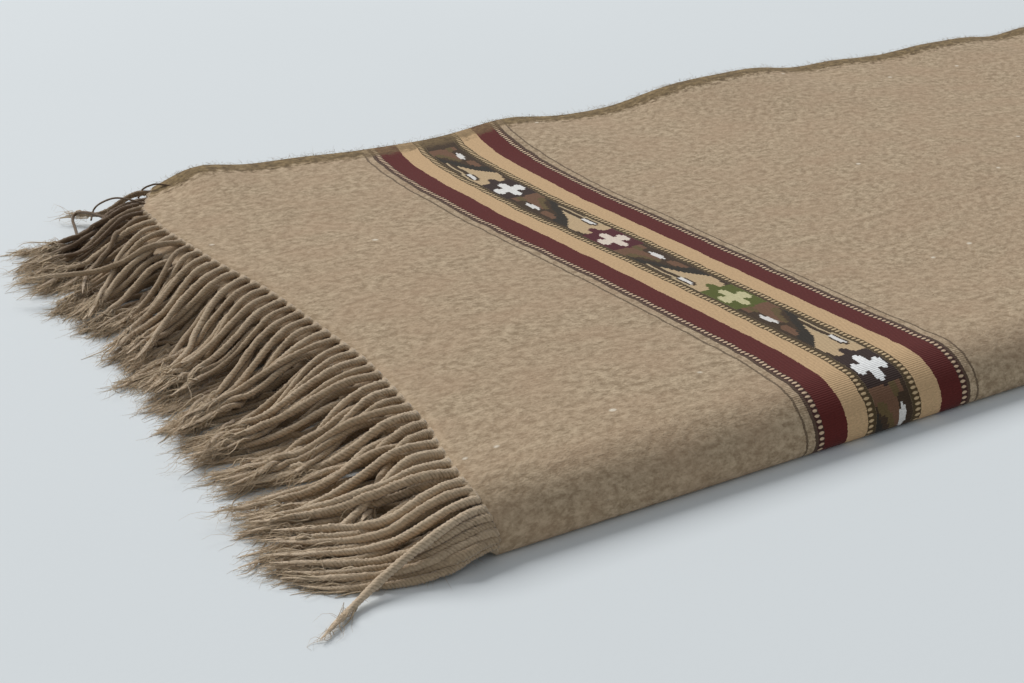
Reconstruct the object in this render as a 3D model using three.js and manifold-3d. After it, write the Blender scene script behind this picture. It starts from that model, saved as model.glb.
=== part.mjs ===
// Fulled wool shawl with a cord fringe, folded once across its length and once along it, lying flat.
// Millimetres. +X runs along the warp away from the fringe, +Y along the weft to the selvedge, +Z is up.
// The shawl is one cloth of four layers: an outer U whose front is the soft fold, and an inner U inside it.
// A plain cross fold at the far end joins the two, so both fringed ends lie together at the near end.

import * as THREE from "three";
import Module from "manifold-3d";

const wasm = await Module();
wasm.setup();

// The cloth and the way it lies.
const CLOTH_THICK = 3;
const LAYER_GAP = 2.4;
const STACK_HEIGHT = 22;
const FOLDED_LENGTH = 1000;
const FOLD_REACH = 26;
const FOLD_FOOT = 3.6;
const TURN_STEPS = 3;

// The fringe: cords fused into a narrow strip that is parted from the cloth's edge.
const PART_GAP = 0.4;
const STRIP_WIDTH = 6;
const ROOT_DEPTH = 2.5;
const CORD_WIDTH = 2.4;
const CORD_HEIGHT = 2.3;
const CORD_PITCH = 7.8;
const CORD_TIP = 0.4;
const UPPER_LEVEL = 2.9;
const LEAN_POWER = 1.5;
const FALL_START = 0.08;
const CORD_SHARES = [0, 0.1, 0.22, 0.36, 0.52, 0.74, 1];

const WOOL = 0xa5917a;

// The four faces: how far each lies inside the stack's outside, above and below and at the front of the fold,
// the round at the foot of the fold, and its share of the ridges and troughs.
const OUTER_FACE = { inset: 0, front: 0, foot: FOLD_FOOT, lift: 1 };
const OUTER_BACK = { inset: CLOTH_THICK, front: CLOTH_THICK, foot: 1.1, lift: 1 };
const INNER_FACE = { inset: CLOTH_THICK + LAYER_GAP, front: 8.5, foot: FOLD_FOOT, lift: 0.65 };
const INNER_BACK = { inset: 2 * CLOTH_THICK + LAYER_GAP, front: 11.5, foot: 1.1, lift: 0.65 };

// Soft ridges and troughs of the upper layers: middle, height, and reach along and across.
const WAVES = [
  { x: 92, y: 376, height: 3.6, along: 34, across: 46 },
  { x: 195, y: 372, height: -2.2, along: 46, across: 60 },
  { x: 285, y: 378, height: 6.4, along: 36, across: 56 },
  { x: 345, y: 372, height: -1.6, along: 34, across: 50 },
  { x: 490, y: 382, height: 5.2, along: 66, across: 70 },
  { x: 600, y: 374, height: -1.4, along: 50, across: 60 },
  { x: 700, y: 382, height: 4.0, along: 60, across: 70 },
  { x: 860, y: 376, height: 2.4, along: 80, across: 70 },
  { x: 160, y: 130, height: 1.4, along: 110, across: 90 },
  { x: 290, y: 120, height: -1.5, along: 90, across: 90 },
  { x: 430, y: 210, height: 1.5, along: 120, across: 90 },
  { x: 640, y: 120, height: -1.2, along: 130, across: 80 },
  { x: 820, y: 190, height: 1.4, along: 140, across: 100 },
  { x: 34, y: 374, height: -4.6, along: 34, across: 34 },
];

// The back edge of each layer, by place along the warp.
const BACK_EDGE = [
  { x: 0, y: 366 },
  { x: 95, y: 370 },
  { x: 200, y: 363 },
  { x: 290, y: 367 },
  { x: 345, y: 365 },
  { x: 495, y: 379 },
  { x: 600, y: 372 },
  { x: 700, y: 378 },
  { x: 1000, y: 374 },
];
const LOWER_EDGE = [
  { x: 0, y: 360 },
  { x: 260, y: 366 },
  { x: 620, y: 363 },
  { x: 1000, y: 368 },
];

// The fringed edge of each layer, by place along the weft.
const OUTER_TOP_EDGE = [
  { y: 0, x: -5 },
  { y: 22, x: -5 },
  { y: 48, x: 3 },
  { y: 64, x: 9.5 },
  { y: 100, x: 17.5 },
  { y: 130, x: 23.5 },
  { y: 190, x: 27 },
  { y: 220, x: 28 },
  { y: 250, x: 25 },
  { y: 305, x: 24.5 },
  { y: 340, x: 31 },
  { y: 380, x: 60 },
];
const OUTER_LOW_EDGE = [
  { y: 0, x: -5 },
  { y: 100, x: 9 },
  { y: 380, x: 20 },
];
const INNER_TOP_EDGE = [
  { y: 0, x: -5 },
  { y: 60, x: 3 },
  { y: 120, x: 15 },
  { y: 250, x: 18 },
  { y: 300, x: 14 },
  { y: 340, x: 26 },
  { y: 380, x: 56 },
];
const INNER_LOW_EDGE = [
  { y: 0, x: -5 },
  { y: 120, x: 12 },
  { y: 380, x: 22 },
];

// Where the cords end and how far they have leant sideways by then, by place along the weft.
const CORD_ENDS = [
  { y: 0, x: -88, lean: 3 },
  { y: 40, x: -85, lean: 0 },
  { y: 90, x: -66, lean: -10 },
  { y: 150, x: -63, lean: -21 },
  { y: 210, x: -57, lean: -23 },
  { y: 260, x: -46, lean: -14 },
  { y: 305, x: -43, lean: -3 },
  { y: 340, x: -40, lean: 6 },
  { y: 380, x: -20, lean: 26 },
];

// The few cords that hang from the front of the fold: angle round the fold, and the tip's place on the floor.
const FOLD_CORDS = [
  { angle: 48, x: -84, y: -3, fall: 0.6 },
  { angle: 68, x: -80, y: -9, fall: 0.6 },
  { angle: 84, x: -88, y: -17, fall: 0.6 },
];

// Places along the warp and round the fold at which the cloth is shaped.
const WARP_STATIONS = [0, 22, 48, 78, 108, 145, 195, 242, 285, 328, 400, 490, 570, 640, 700, 780, 870, 945];
const TOP_SHARES = [0, 0.04, 0.1, 0.18, 0.3, 0.45, 0.6, 0.75, 0.88, 1];
const FOLD_ANGLES = [18, 36, 54, 72, 90];
const FOOT_ANGLES = [45, 90];
const LOW_SHARES = [0.15, 0.4, 0.7, 1];

// Reads a table between its rows.
function lookUp(table, key, at, value) {
  let last = table[0];
  for (const row of table) {
    if (at <= row[key]) {
      const span = row[key] - last[key];
      const share = span > 0 ? Math.max(0, (at - last[key]) / span) : 0;
      return last[value] + (row[value] - last[value]) * share;
    }
    last = row;
  }
  return last[value];
}

// An uneven but fixed number from -1 to 1.
function uneven(index, kind) {
  const wave = Math.sin(index * 12.9898 + kind * 78.233) * 43758.5453;
  return 2 * (wave - Math.floor(wave)) - 1;
}

function easeInOut(share) {
  const s = Math.min(1, Math.max(0, share));
  return s * s * (3 - 2 * s);
}

// How much of its height a cord still has at a share of its length.
function heldUp(share, fall) {
  return 1 - easeInOut((share - FALL_START) / (fall - FALL_START));
}

// Height of the ridges and troughs at a place on the upper layers.
function waveAt(x, y) {
  let height = 0;
  for (const w of WAVES) {
    height += w.height * Math.exp(-(((x - w.x) / w.along) ** 2) - ((y - w.y) / w.across) ** 2);
  }
  return height;
}

// The places round the section: the top from back to front, the fold, its foot, and the bottom to the back.
const WEFT_STATIONS = [
  ...TOP_SHARES.map((share) => ({ run: "top", share })),
  ...FOLD_ANGLES.map((angle) => ({ run: "fold", angle })),
  ...FOOT_ANGLES.map((angle) => ({ run: "foot", angle })),
  ...LOW_SHARES.map((share) => ({ run: "low", share })),
];

// A point of one face of the folded cloth at a place along the warp.
function facePoint(face, station, x) {
  const front = face.front;
  const reach = FOLD_REACH - 0.3 * face.inset;
  const level = face.inset;
  const crest = front + reach;
  const crown = STACK_HEIGHT - face.inset + face.lift * waveAt(x, crest);
  const knee = level + face.foot;
  const turn = THREE.MathUtils.degToRad(station.angle ?? 0);
  if (station.run === "top") {
    const back = lookUp(BACK_EDGE, "x", x, "y");
    const y = back + (crest - back) * station.share;
    return new THREE.Vector3(x, y, STACK_HEIGHT - face.inset + face.lift * waveAt(x, y));
  }
  if (station.run === "fold") {
    const y = crest - reach * Math.sin(turn);
    return new THREE.Vector3(x, y, knee + (crown - knee) * Math.cos(turn));
  }
  if (station.run === "foot") {
    const y = front + face.foot * (1 - Math.cos(turn));
    return new THREE.Vector3(x, y, knee - face.foot * Math.sin(turn));
  }
  const back = lookUp(LOWER_EDGE, "x", x, "y");
  const start = front + face.foot;
  return new THREE.Vector3(x, start + (back - start) * station.share, level);
}

// Where a layer's fringed edge is at a place round the section.
function edgeAt(top, low, station) {
  const guess = facePoint(OUTER_FACE, station, 40);
  const table = station.run === "low" || station.run === "foot" ? low : top;
  return lookUp(table, "y", guess.y, "x");
}

// One closed solid from the two sides of a sheet, each a grid of points.
function sheetSolid(outside, inside) {
  const rows = outside.length;
  const columns = outside[0].length;
  const points = [...outside.flat(), ...inside.flat()];
  const shift = rows * columns;
  const out = (r, c) => r * columns + c;
  const inn = (r, c) => shift + r * columns + c;
  const corners = [];
  const quad = (a, b, c, d) => corners.push(a, b, c, a, c, d);
  for (let r = 0; r + 1 < rows; r++) {
    for (let c = 0; c + 1 < columns; c++) {
      quad(out(r, c), out(r + 1, c), out(r + 1, c + 1), out(r, c + 1));
      quad(inn(r, c), inn(r, c + 1), inn(r + 1, c + 1), inn(r + 1, c));
    }
    quad(out(r, 0), inn(r, 0), inn(r + 1, 0), out(r + 1, 0));
    const c = columns - 1;
    quad(out(r, c), out(r + 1, c), inn(r + 1, c), inn(r, c));
  }
  for (let c = 0; c + 1 < columns; c++) {
    quad(out(0, c), out(0, c + 1), inn(0, c + 1), inn(0, c));
    const r = rows - 1;
    quad(out(r, c), inn(r, c), inn(r, c + 1), out(r, c + 1));
  }
  return solidFrom(points, corners);
}

function solidFrom(points, corners) {
  const triVerts = new Uint32Array(corners);
  const vertProperties = new Float32Array(points.flatMap((p) => [p.x, p.y, p.z]));
  return new wasm.Manifold(new wasm.Mesh({ numProp: 3, vertProperties, triVerts }));
}

// The sheet from one fringed edge, along the outer U, round the cross fold, and back along the inner U.
function clothSolid() {
  const turnRadius = CLOTH_THICK + LAYER_GAP / 2;
  const bend = FOLDED_LENGTH - turnRadius;
  const outside = [];
  const inside = [];
  for (const station of WEFT_STATIONS) {
    const outerEdge = edgeAt(OUTER_TOP_EDGE, OUTER_LOW_EDGE, station);
    const innerEdge = edgeAt(INNER_TOP_EDGE, INNER_LOW_EDGE, station);
    const place = (edge, x) => edge + ((bend - edge) * x) / bend;
    const stations = [...WARP_STATIONS, bend];
    const face = (kind, edge) => stations.map((x) => facePoint(kind, station, place(edge, x)));
    const outer = [face(OUTER_FACE, outerEdge), face(OUTER_BACK, outerEdge)];
    const inner = [face(INNER_BACK, innerEdge), face(INNER_FACE, innerEdge)];
    const turns = crossFold(outer[0].at(-1), outer[1].at(-1), inner[1].at(-1), inner[0].at(-1));
    outside.push([...outer[0], ...turns.outside, ...inner[0].reverse()]);
    inside.push([...outer[1], ...turns.inside, ...inner[1].reverse()]);
  }
  return sheetSolid(outside, inside);
}

// The round of the cross fold between the ends of the outer and the inner layer.
function crossFold(outerFar, outerNear, innerNear, innerFar) {
  const middle = outerFar.clone().add(innerFar).multiplyScalar(0.5);
  const turnOf = (from, to) => {
    const half = from.clone().sub(to).multiplyScalar(0.5);
    const steps = [];
    for (let i = 1; i <= TURN_STEPS; i++) {
      const angle = (Math.PI * i) / (TURN_STEPS + 1);
      const point = middle.clone().addScaledVector(half, Math.cos(angle));
      point.x += half.length() * Math.sin(angle);
      steps.push(point);
    }
    return steps;
  };
  return { outside: turnOf(outerFar, innerFar), inside: turnOf(outerNear, innerNear) };
}

// The narrow strip along a fringed edge.
function stripSolid(faceOut, faceIn, top, low) {
  const outside = [];
  const inside = [];
  for (const station of WEFT_STATIONS) {
    const near = edgeAt(top, low, station) - PART_GAP;
    const places = [near - STRIP_WIDTH, near];
    outside.push(places.map((x) => facePoint(faceOut, station, x)));
    inside.push(places.map((x) => facePoint(faceIn, station, x)));
  }
  return sheetSolid(outside, inside);
}

// A cord of three sides with a level base, along the points of its base line, narrowing at the tip.
function cordSolid(path) {
  const points = [];
  const corners = [];
  const last = path.length - 1;
  path.forEach((point, i) => {
    const ahead = path[Math.min(last, i + 1)].clone().sub(path[Math.max(0, i - 1)]);
    const side = new THREE.Vector3(-ahead.y, ahead.x, 0).normalize();
    const size = i === last ? CORD_TIP : 1;
    const half = (size * CORD_WIDTH) / 2;
    points.push(point.clone().addScaledVector(side, -half));
    points.push(point.clone().addScaledVector(side, half));
    points.push(point.clone().add(new THREE.Vector3(0, 0, size * CORD_HEIGHT)));
  });
  for (let i = 0; i < last; i++) {
    for (let k = 0; k < 3; k++) {
      const a = 3 * i + k;
      const b = 3 * i + ((k + 1) % 3);
      corners.push(a, b, b + 3, a, b + 3, a + 3);
    }
  }
  const end = 3 * last;
  corners.push(0, 2, 1, end, end + 1, end + 2);
  return solidFrom(points, corners);
}

// The base line of a cord that leaves an edge at a place along the weft and comes down to its level.
function cordPath(root, rootHeight, level, number, fall) {
  const usual = lookUp(CORD_ENDS, "y", root.y, "x");
  const tip = usual + 5 * uneven(number, 1);
  const lean = lookUp(CORD_ENDS, "y", root.y, "lean");
  const origin = lookUp(OUTER_TOP_EDGE, "y", root.y, "x");
  const bow = 0.4 * uneven(number, 2);
  return CORD_SHARES.map((share) => {
    const x = root.x + (tip - root.x) * share;
    const out = Math.max(0, (origin - x) / (origin - usual));
    const y = root.y + lean * out ** LEAN_POWER + bow * Math.sin(Math.PI * share);
    return new THREE.Vector3(x, y, level + (rootHeight - level) * heldUp(share, fall));
  });
}

// The cords of one layer, a pitch apart along the weft.
function rowOfCords(row) {
  const cords = [];
  for (let y = row.first; y < row.last; y += CORD_PITCH) {
    const number = cords.length + row.kind * 100;
    const edge = lookUp(row.edge, "y", y, "x") - PART_GAP - STRIP_WIDTH + ROOT_DEPTH;
    const root = new THREE.Vector3(edge, y, 0);
    const height = row.height + (row.lift ? row.lift * waveAt(edge, y) : 0);
    cords.push(cordSolid(cordPath(root, height, row.level, number, row.fall)));
  }
  return cords;
}

// The cords that hang from the front of the outer fold and fan out on the floor.
function foldCords() {
  return FOLD_CORDS.map((cord) => {
    const station = { run: "fold", angle: cord.angle };
    const edge = edgeAt(OUTER_TOP_EDGE, OUTER_LOW_EDGE, station) - PART_GAP - STRIP_WIDTH + ROOT_DEPTH;
    const root = facePoint(OUTER_FACE, station, edge).add(facePoint(OUTER_BACK, station, edge));
    root.multiplyScalar(0.5);
    const start = root.z - CORD_HEIGHT / 2;
    const path = CORD_SHARES.map((share) => {
      const x = root.x + (cord.x - root.x) * share;
      const y = root.y + (cord.y - root.y) * share ** LEAN_POWER;
      return new THREE.Vector3(x, y, start * heldUp(share, cord.fall));
    });
    return cordSolid(path);
  });
}

// The four rows of cords; each leaves the middle of its layer.
const inLayer = (CLOTH_THICK - CORD_HEIGHT) / 2;
const OUTER_TOP_ROW = {
  kind: 1,
  edge: OUTER_TOP_EDGE,
  first: 30,
  last: 368,
  height: STACK_HEIGHT - CLOTH_THICK + inLayer,
  lift: OUTER_FACE.lift,
  level: UPPER_LEVEL,
  fall: 0.72,
};
const INNER_TOP_ROW = {
  kind: 2,
  edge: INNER_TOP_EDGE,
  first: 30 + CORD_PITCH / 2,
  last: 362,
  height: STACK_HEIGHT - INNER_BACK.inset + inLayer,
  lift: INNER_FACE.lift,
  level: UPPER_LEVEL,
  fall: 0.6,
};
const INNER_LOW_ROW = {
  kind: 3,
  edge: INNER_LOW_EDGE,
  first: 12 + CORD_PITCH / 2,
  last: 356,
  height: INNER_FACE.inset + inLayer,
  level: 0,
  fall: 0.4,
};
const OUTER_LOW_ROW = {
  kind: 4,
  edge: OUTER_LOW_EDGE,
  first: 12,
  last: 356,
  height: inLayer,
  level: 0,
  fall: 0.25,
};

const cloth = clothSolid();
const outerStrip = stripSolid(OUTER_FACE, OUTER_BACK, OUTER_TOP_EDGE, OUTER_LOW_EDGE);
const innerStrip = stripSolid(INNER_FACE, INNER_BACK, INNER_TOP_EDGE, INNER_LOW_EDGE);
const outerFringe = wasm.Manifold.union([
  outerStrip,
  ...rowOfCords(OUTER_TOP_ROW),
  ...rowOfCords(OUTER_LOW_ROW),
  ...foldCords(),
]);
const innerFringe = wasm.Manifold.union([
  innerStrip,
  ...rowOfCords(INNER_TOP_ROW),
  ...rowOfCords(INNER_LOW_ROW),
]);

function meshOf(name, solid) {
  const { vertProperties, triVerts } = solid.getMesh();
  const geometry = new THREE.BufferGeometry();
  geometry.setAttribute("position", new THREE.BufferAttribute(new Float32Array(vertProperties), 3));
  geometry.setIndex(new THREE.BufferAttribute(new Uint32Array(triVerts), 1));
  geometry.computeVertexNormals();
  const material = new THREE.MeshStandardMaterial({ color: WOOL, roughness: 0.95 });
  const mesh = new THREE.Mesh(geometry, material);
  mesh.name = name;
  return mesh;
}

const shawl = new THREE.Group();
shawl.name = "shawl";
shawl.add(meshOf("cloth", cloth), meshOf("fringe_outer", outerFringe), meshOf("fringe_inner", innerFringe));

// The origin is the middle of the underside of the whole.
const box = new THREE.Box3().setFromObject(shawl);
const middle = box.getCenter(new THREE.Vector3());
for (const mesh of shawl.children) {
  mesh.geometry.translate(-middle.x, -middle.y, -box.min.z);
}

export default shawl;
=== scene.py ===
"""A folded shawl of fulled wool: a cloth in four layers, a patterned band, dark selvedges, a cord fringe.

Lengths are millimetres in the maker's frame: +X along the warp away from the fringe, +Y along the weft
from the soft front fold to the selvedges, +Z up. Each piece is turned to metres in the part's frame as
it is made.
"""

import logging
import math
from dataclasses import dataclass, field
from enum import Enum
from typing import Any, Sequence

import bpy
import numpy as np
from mathutils import Matrix, Vector, kdtree


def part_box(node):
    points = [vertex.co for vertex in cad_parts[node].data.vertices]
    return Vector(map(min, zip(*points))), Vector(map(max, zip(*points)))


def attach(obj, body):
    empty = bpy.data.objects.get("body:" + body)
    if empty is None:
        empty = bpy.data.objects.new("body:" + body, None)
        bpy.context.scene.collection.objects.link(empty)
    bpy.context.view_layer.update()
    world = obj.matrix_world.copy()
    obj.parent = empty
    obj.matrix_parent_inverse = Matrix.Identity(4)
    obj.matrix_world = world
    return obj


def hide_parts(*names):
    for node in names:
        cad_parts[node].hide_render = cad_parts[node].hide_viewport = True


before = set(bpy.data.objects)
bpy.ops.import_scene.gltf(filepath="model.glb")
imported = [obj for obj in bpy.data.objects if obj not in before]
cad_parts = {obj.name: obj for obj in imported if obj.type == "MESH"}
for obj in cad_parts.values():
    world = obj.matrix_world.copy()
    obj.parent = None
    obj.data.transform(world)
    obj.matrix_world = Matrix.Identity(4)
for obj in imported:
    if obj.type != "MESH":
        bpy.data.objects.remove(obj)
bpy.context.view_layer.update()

LOG = logging.getLogger("shawl")
MM = 0.001
BAKE_MAP = "OFBake"
BODY = "root"

Range = tuple[float, float]
Table = Sequence[Range]
Socket = bpy.types.NodeSocket

# How far to each side the tables of edges and of the weave are rounded, and in how many steps.
EDGE_SPAN = 6.0
WEAVE_SPAN = 8.0
ROUND_STEPS = 7


def linear(colour: str) -> tuple[float, float, float, float]:
    """Turns an sRGB hex colour to linear red, green, blue and alpha.

    Args:
        colour: The colour as "#rrggbb".

    Returns:
        The four channels, alpha 1.
    """
    channels = [int(colour[i : i + 2], 16) / 255 for i in (1, 3, 5)]
    red, green, blue = (c / 12.92 if c <= 0.04045 else ((c + 0.055) / 1.055) ** 2.4 for c in channels)
    return red, green, blue, 1.0


def ease(share: np.ndarray) -> np.ndarray:
    """Runs smoothly from 0 to 1 as the share does."""
    held = np.clip(share, 0, 1)
    return held * held * (3 - 2 * held)


def read(table: Table, at: np.ndarray) -> np.ndarray:
    """Reads a table of places and values between its rows."""
    return np.interp(at, *np.array(table, float).T)


def rounded(table: Table, at: np.ndarray | float, span: float = 12.0) -> np.ndarray:
    """Reads a table between its rows, its corners rounded.

    Args:
        table: Rows of place and value.
        at: The places to read it at.
        span: How far to each side the corners are rounded.

    Returns:
        The values there.
    """
    return np.mean([read(table, at + step) for step in np.linspace(-span, span, ROUND_STEPS)], axis=0)


def uneven(index: np.ndarray, kind: int) -> np.ndarray:
    """Gives each index an uneven but fixed number from -1 to 1, as the solids do."""
    wave = np.sin(index * 12.9898 + kind * 78.233) * 43758.5453
    return 2 * (wave - np.floor(wave)) - 1


def unit(vectors: np.ndarray) -> np.ndarray:
    """Scales vectors to length 1."""
    return vectors / np.maximum(np.linalg.norm(vectors, axis=-1, keepdims=True), 1e-9)


def maker_origin() -> np.ndarray:
    """The place of the maker's origin in the part's frame, in metres."""
    low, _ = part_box("cloth")
    return np.array((low.x - FORM.least_x * MM, low.y, 0))


@dataclass
class Surface:
    """Points and faces of a piece in the making, in millimetres.

    Attributes:
        points: One row a point.
        faces: Blocks of faces with the same number of corners.
        corners: The place of each face corner on the bake map, from 0 to 1, block by block.
        values: Named numbers or vectors at each point.
    """

    points: np.ndarray
    faces: list[np.ndarray]
    corners: list[np.ndarray]
    values: dict[str, np.ndarray] = field(default_factory=dict)

    @staticmethod
    def joined(parts: Sequence["Surface"]) -> "Surface":
        """Joins surfaces that hold the same named values into one.

        Args:
            parts: The surfaces.

        Returns:
            One surface of all of them.
        """
        starts = np.cumsum([0] + [len(part.points) for part in parts])
        return Surface(
            points=np.concatenate([part.points for part in parts]),
            faces=[block + start for part, start in zip(parts, starts) for block in part.faces],
            corners=[block for part in parts for block in part.corners],
            values={key: np.concatenate([part.values[key] for part in parts]) for key in parts[0].values},
        )

    def on_map(self, low: Range, high: Range) -> "Surface":
        """Moves the surface's part of the bake map into a smaller box.

        Args:
            low: The lower left corner of the box.
            high: Its upper right corner.

        Returns:
            The surface itself.
        """
        span = np.subtract(high, low)
        self.corners = [np.asarray(low) + block * span for block in self.corners]
        return self

    def as_object(self, name: str, material: bpy.types.Material) -> bpy.types.Object:
        """Makes the mesh object in the part's frame.

        Args:
            name: The piece's name.
            material: Its finish.

        Returns:
            The object, in the scene.
        """
        mesh = bpy.data.meshes.new(name)
        faces = [face for block in self.faces for face in block.tolist()]
        mesh.from_pydata((self.points * MM + maker_origin()).tolist(), [], faces)
        layer = mesh.uv_layers.new(name=BAKE_MAP)
        places = np.concatenate([block.reshape(-1, 2) for block in self.corners])
        layer.data.foreach_set("uv", places.astype(np.float32).ravel())
        for key, value in self.values.items():
            many = value.ndim == 2
            attribute = mesh.attributes.new(key, "FLOAT_VECTOR" if many else "FLOAT", "POINT")
            attribute.data.foreach_set("vector" if many else "value", value.astype(np.float32).ravel())
        mesh.shade_smooth()
        mesh.materials.append(material)
        made = bpy.data.objects.new(name, mesh)
        bpy.context.scene.collection.objects.link(made)
        return made


class Run(Enum):
    """The stretches round the folded section."""

    TOP = "top, by share from the back edge to the crest of the fold"
    FOLD = "fold, by angle from its crest"
    FOOT = "foot of the fold, by angle"
    LOW = "bottom, by share from the foot to the back edge"


Station = tuple[Run, float]


@dataclass(frozen=True)
class Face:
    """One face of a layer: how far it lies inside the stack, and its share of the ridges and troughs."""

    inset: float
    front: float
    foot: float
    lift: float


@dataclass(frozen=True)
class Wave:
    """A soft ridge or trough of the upper layers: its middle, height, and reach along and across."""

    x: float
    y: float
    height: float
    along: float
    across: float


@dataclass(frozen=True)
class Crease:
    """A long shallow trough or ridge between two places on the top."""

    start: tuple[float, float]
    end: tuple[float, float]
    height: float
    width: float


WAVES = (
    Wave(92, 376, 3.6, 34, 46),
    Wave(195, 372, -2.2, 46, 60),
    Wave(285, 378, 6.4, 36, 56),
    Wave(345, 372, -1.6, 34, 50),
    Wave(490, 382, 5.2, 66, 70),
    Wave(600, 374, -1.4, 50, 60),
    Wave(700, 382, 4.0, 60, 70),
    Wave(860, 376, 2.4, 80, 70),
    Wave(160, 130, 1.4, 110, 90),
    Wave(290, 120, -1.5, 90, 90),
    Wave(430, 210, 1.5, 120, 90),
    Wave(640, 120, -1.2, 130, 80),
    Wave(820, 190, 1.4, 140, 100),
    Wave(34, 374, -4.6, 34, 34),
)
CREASES = (
    Crease((60, 300), (150, 240), -0.5, 16),
    Crease((235, 350), (262, 210), -0.6, 12),
    Crease((150, 356), (170, 250), 0.5, 14),
    Crease((300, 90), (420, 60), -0.5, 18),
    Crease((90, 60), (190, 44), 0.4, 15),
    Crease((380, 330), (520, 250), -0.6, 20),
    Crease((610, 60), (760, 110), -0.5, 20),
    Crease((560, 340), (660, 290), 0.5, 18),
)
# The selvedge stands a little higher or lower than the folds below it.
SELVEDGE_WAVES = (
    Wave(45, 370, -1.5, 14, 30),
    Wave(74, 372, 2.2, 18, 36),
    Wave(104, 374, -3.0, 24, 36),
    Wave(195, 368, 1.2, 26, 36),
    Wave(297, 374, -5.4, 30, 40),
    Wave(402, 376, 4.6, 50, 44),
    Wave(508, 376, -4.6, 28, 44),
    Wave(616, 378, 3.6, 34, 44),
    Wave(702, 378, -4.8, 26, 44),
)
# The back edges by place along the warp, and the fringed edges by place along the weft.
BACK_EDGE = (
    (0, 366), (95, 370), (200, 363), (290, 367), (345, 365),
    (495, 379), (600, 372), (700, 378), (1000, 374),
)
LOWER_EDGE = ((0, 360), (260, 366), (620, 363), (1000, 368))
OUTER_TOP_EDGE = (
    (0, -5), (22, -5), (48, 3), (64, 9.5), (100, 17.5), (130, 23.5),
    (190, 27), (220, 28), (250, 25), (305, 24.5), (340, 31), (380, 60),
)
OUTER_LOW_EDGE = ((0, -5), (100, 9), (380, 20))
INNER_TOP_EDGE = ((0, -5), (60, 3), (120, 15), (250, 18), (300, 14), (340, 26), (380, 56))
INNER_LOW_EDGE = ((0, -5), (120, 12), (380, 22))
# Where the band's middle runs and how wide it is pulled, by place along the weft from the selvedge.
BAND_DRIFT = (
    (0, 221), (20, 213), (45, 208), (70, 205), (120, 202),
    (250, 203), (325, 203.5), (350, 202), (380, 199),
)
BAND_SPREAD = ((0, 1.03), (60, 1.05), (120, 1.02), (300, 1.04), (330, 1.07), (355, 1.12), (400, 1.12))


@dataclass(frozen=True)
class FoldedForm:
    """The folded stack that every piece lies on, in the solids' own sizes."""

    thick: float = 3.0
    gap: float = 2.4
    height: float = 22.0
    length: float = 1000.0
    reach: float = 26.0
    reach_loss: float = 0.3
    foot: float = 3.6
    back_foot: float = 1.1
    inner_front: float = 8.5
    inner_lift: float = 0.65
    least_x: float = -5.0
    edge_probe: float = 40.0
    crease_fade: float = 2.4

    @property
    def outer(self) -> tuple[Face, Face]:
        """The outer and the inner face of the outer layers."""
        return Face(0, 0, self.foot, 1), Face(self.thick, self.thick, self.back_foot, 1)

    @property
    def inner(self) -> tuple[Face, Face]:
        """The outer and the inner face of the inner layers.

        Returns:
            The two faces.
        """
        inset = self.thick + self.gap
        front = self.inner_front
        return (
            Face(inset, front, self.foot, self.inner_lift),
            Face(inset + self.thick, front + self.thick, self.back_foot, self.inner_lift),
        )

    @property
    def bend(self) -> float:
        """Where the cross fold at the far end begins."""
        return self.length - self.thick - self.gap / 2

    def wave(self, x: np.ndarray, y: np.ndarray) -> np.ndarray:
        """Height of the ridges, troughs and creases at places on the upper layers.

        Args:
            x: Places along the warp.
            y: Places along the weft.

        Returns:
            The heights.
        """
        height = np.zeros(np.broadcast(x, y).shape)
        for w in WAVES + SELVEDGE_WAVES:
            spread = ((x - w.x) / w.along) ** 2 + ((y - w.y) / w.across) ** 2
            height = height + w.height * np.exp(-spread)
        for crease in CREASES:
            run = np.subtract(crease.end, crease.start)
            length = math.hypot(*run)
            along = ((x - crease.start[0]) * run[0] + (y - crease.start[1]) * run[1]) / length**2
            across = ((x - crease.start[0]) * run[1] - (y - crease.start[1]) * run[0]) / length
            fade = np.exp(-((self.crease_fade * (along - 0.5)) ** 4))
            height = height + crease.height * fade * np.exp(-((across / crease.width) ** 2))
        return height

    def points(self, face: Face, station: Station, x: np.ndarray) -> np.ndarray:
        """Points of one face at a station of the section, for places along the warp.

        Args:
            face: The face.
            station: The run and the place on it.
            x: Places along the warp.

        Returns:
            One row a point.
        """
        run, value = station
        reach = self.reach - self.reach_loss * face.inset
        crest = face.front + reach
        knee = face.inset + face.foot
        top = self.height - face.inset
        if run is Run.TOP:
            back = rounded(BACK_EDGE, x)
            y = back + (crest - back) * value
            z = top + face.lift * self.wave(x, y)
        elif run is Run.FOLD:
            crown = top + face.lift * self.wave(x, np.full_like(x, crest))
            y = np.full_like(x, crest - reach * math.sin(math.radians(value)))
            z = knee + (crown - knee) * math.cos(math.radians(value))
        elif run is Run.FOOT:
            y = np.full_like(x, face.front + face.foot * (1 - math.cos(math.radians(value))))
            z = np.full_like(x, knee - face.foot * math.sin(math.radians(value)))
        else:
            start = face.front + face.foot
            y = start + (rounded(LOWER_EDGE, x) - start) * value
            z = np.full_like(x, face.inset)
        return np.stack([x, y, z], axis=-1)

    def edge(self, top: Table, low: Table, station: Station) -> float:
        """Where a layer's fringed edge is at a station of the section.

        Args:
            top: The edge of the layer's upper half.
            low: The edge of its lower half.
            station: The run and the place on it.

        Returns:
            The place along the warp.
        """
        y = self.points(self.outer[0], station, np.array([self.edge_probe]))[0, 1]
        table = low if station[0] in (Run.LOW, Run.FOOT) else top
        return float(rounded(table, y, EDGE_SPAN))


FORM = FoldedForm()


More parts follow.
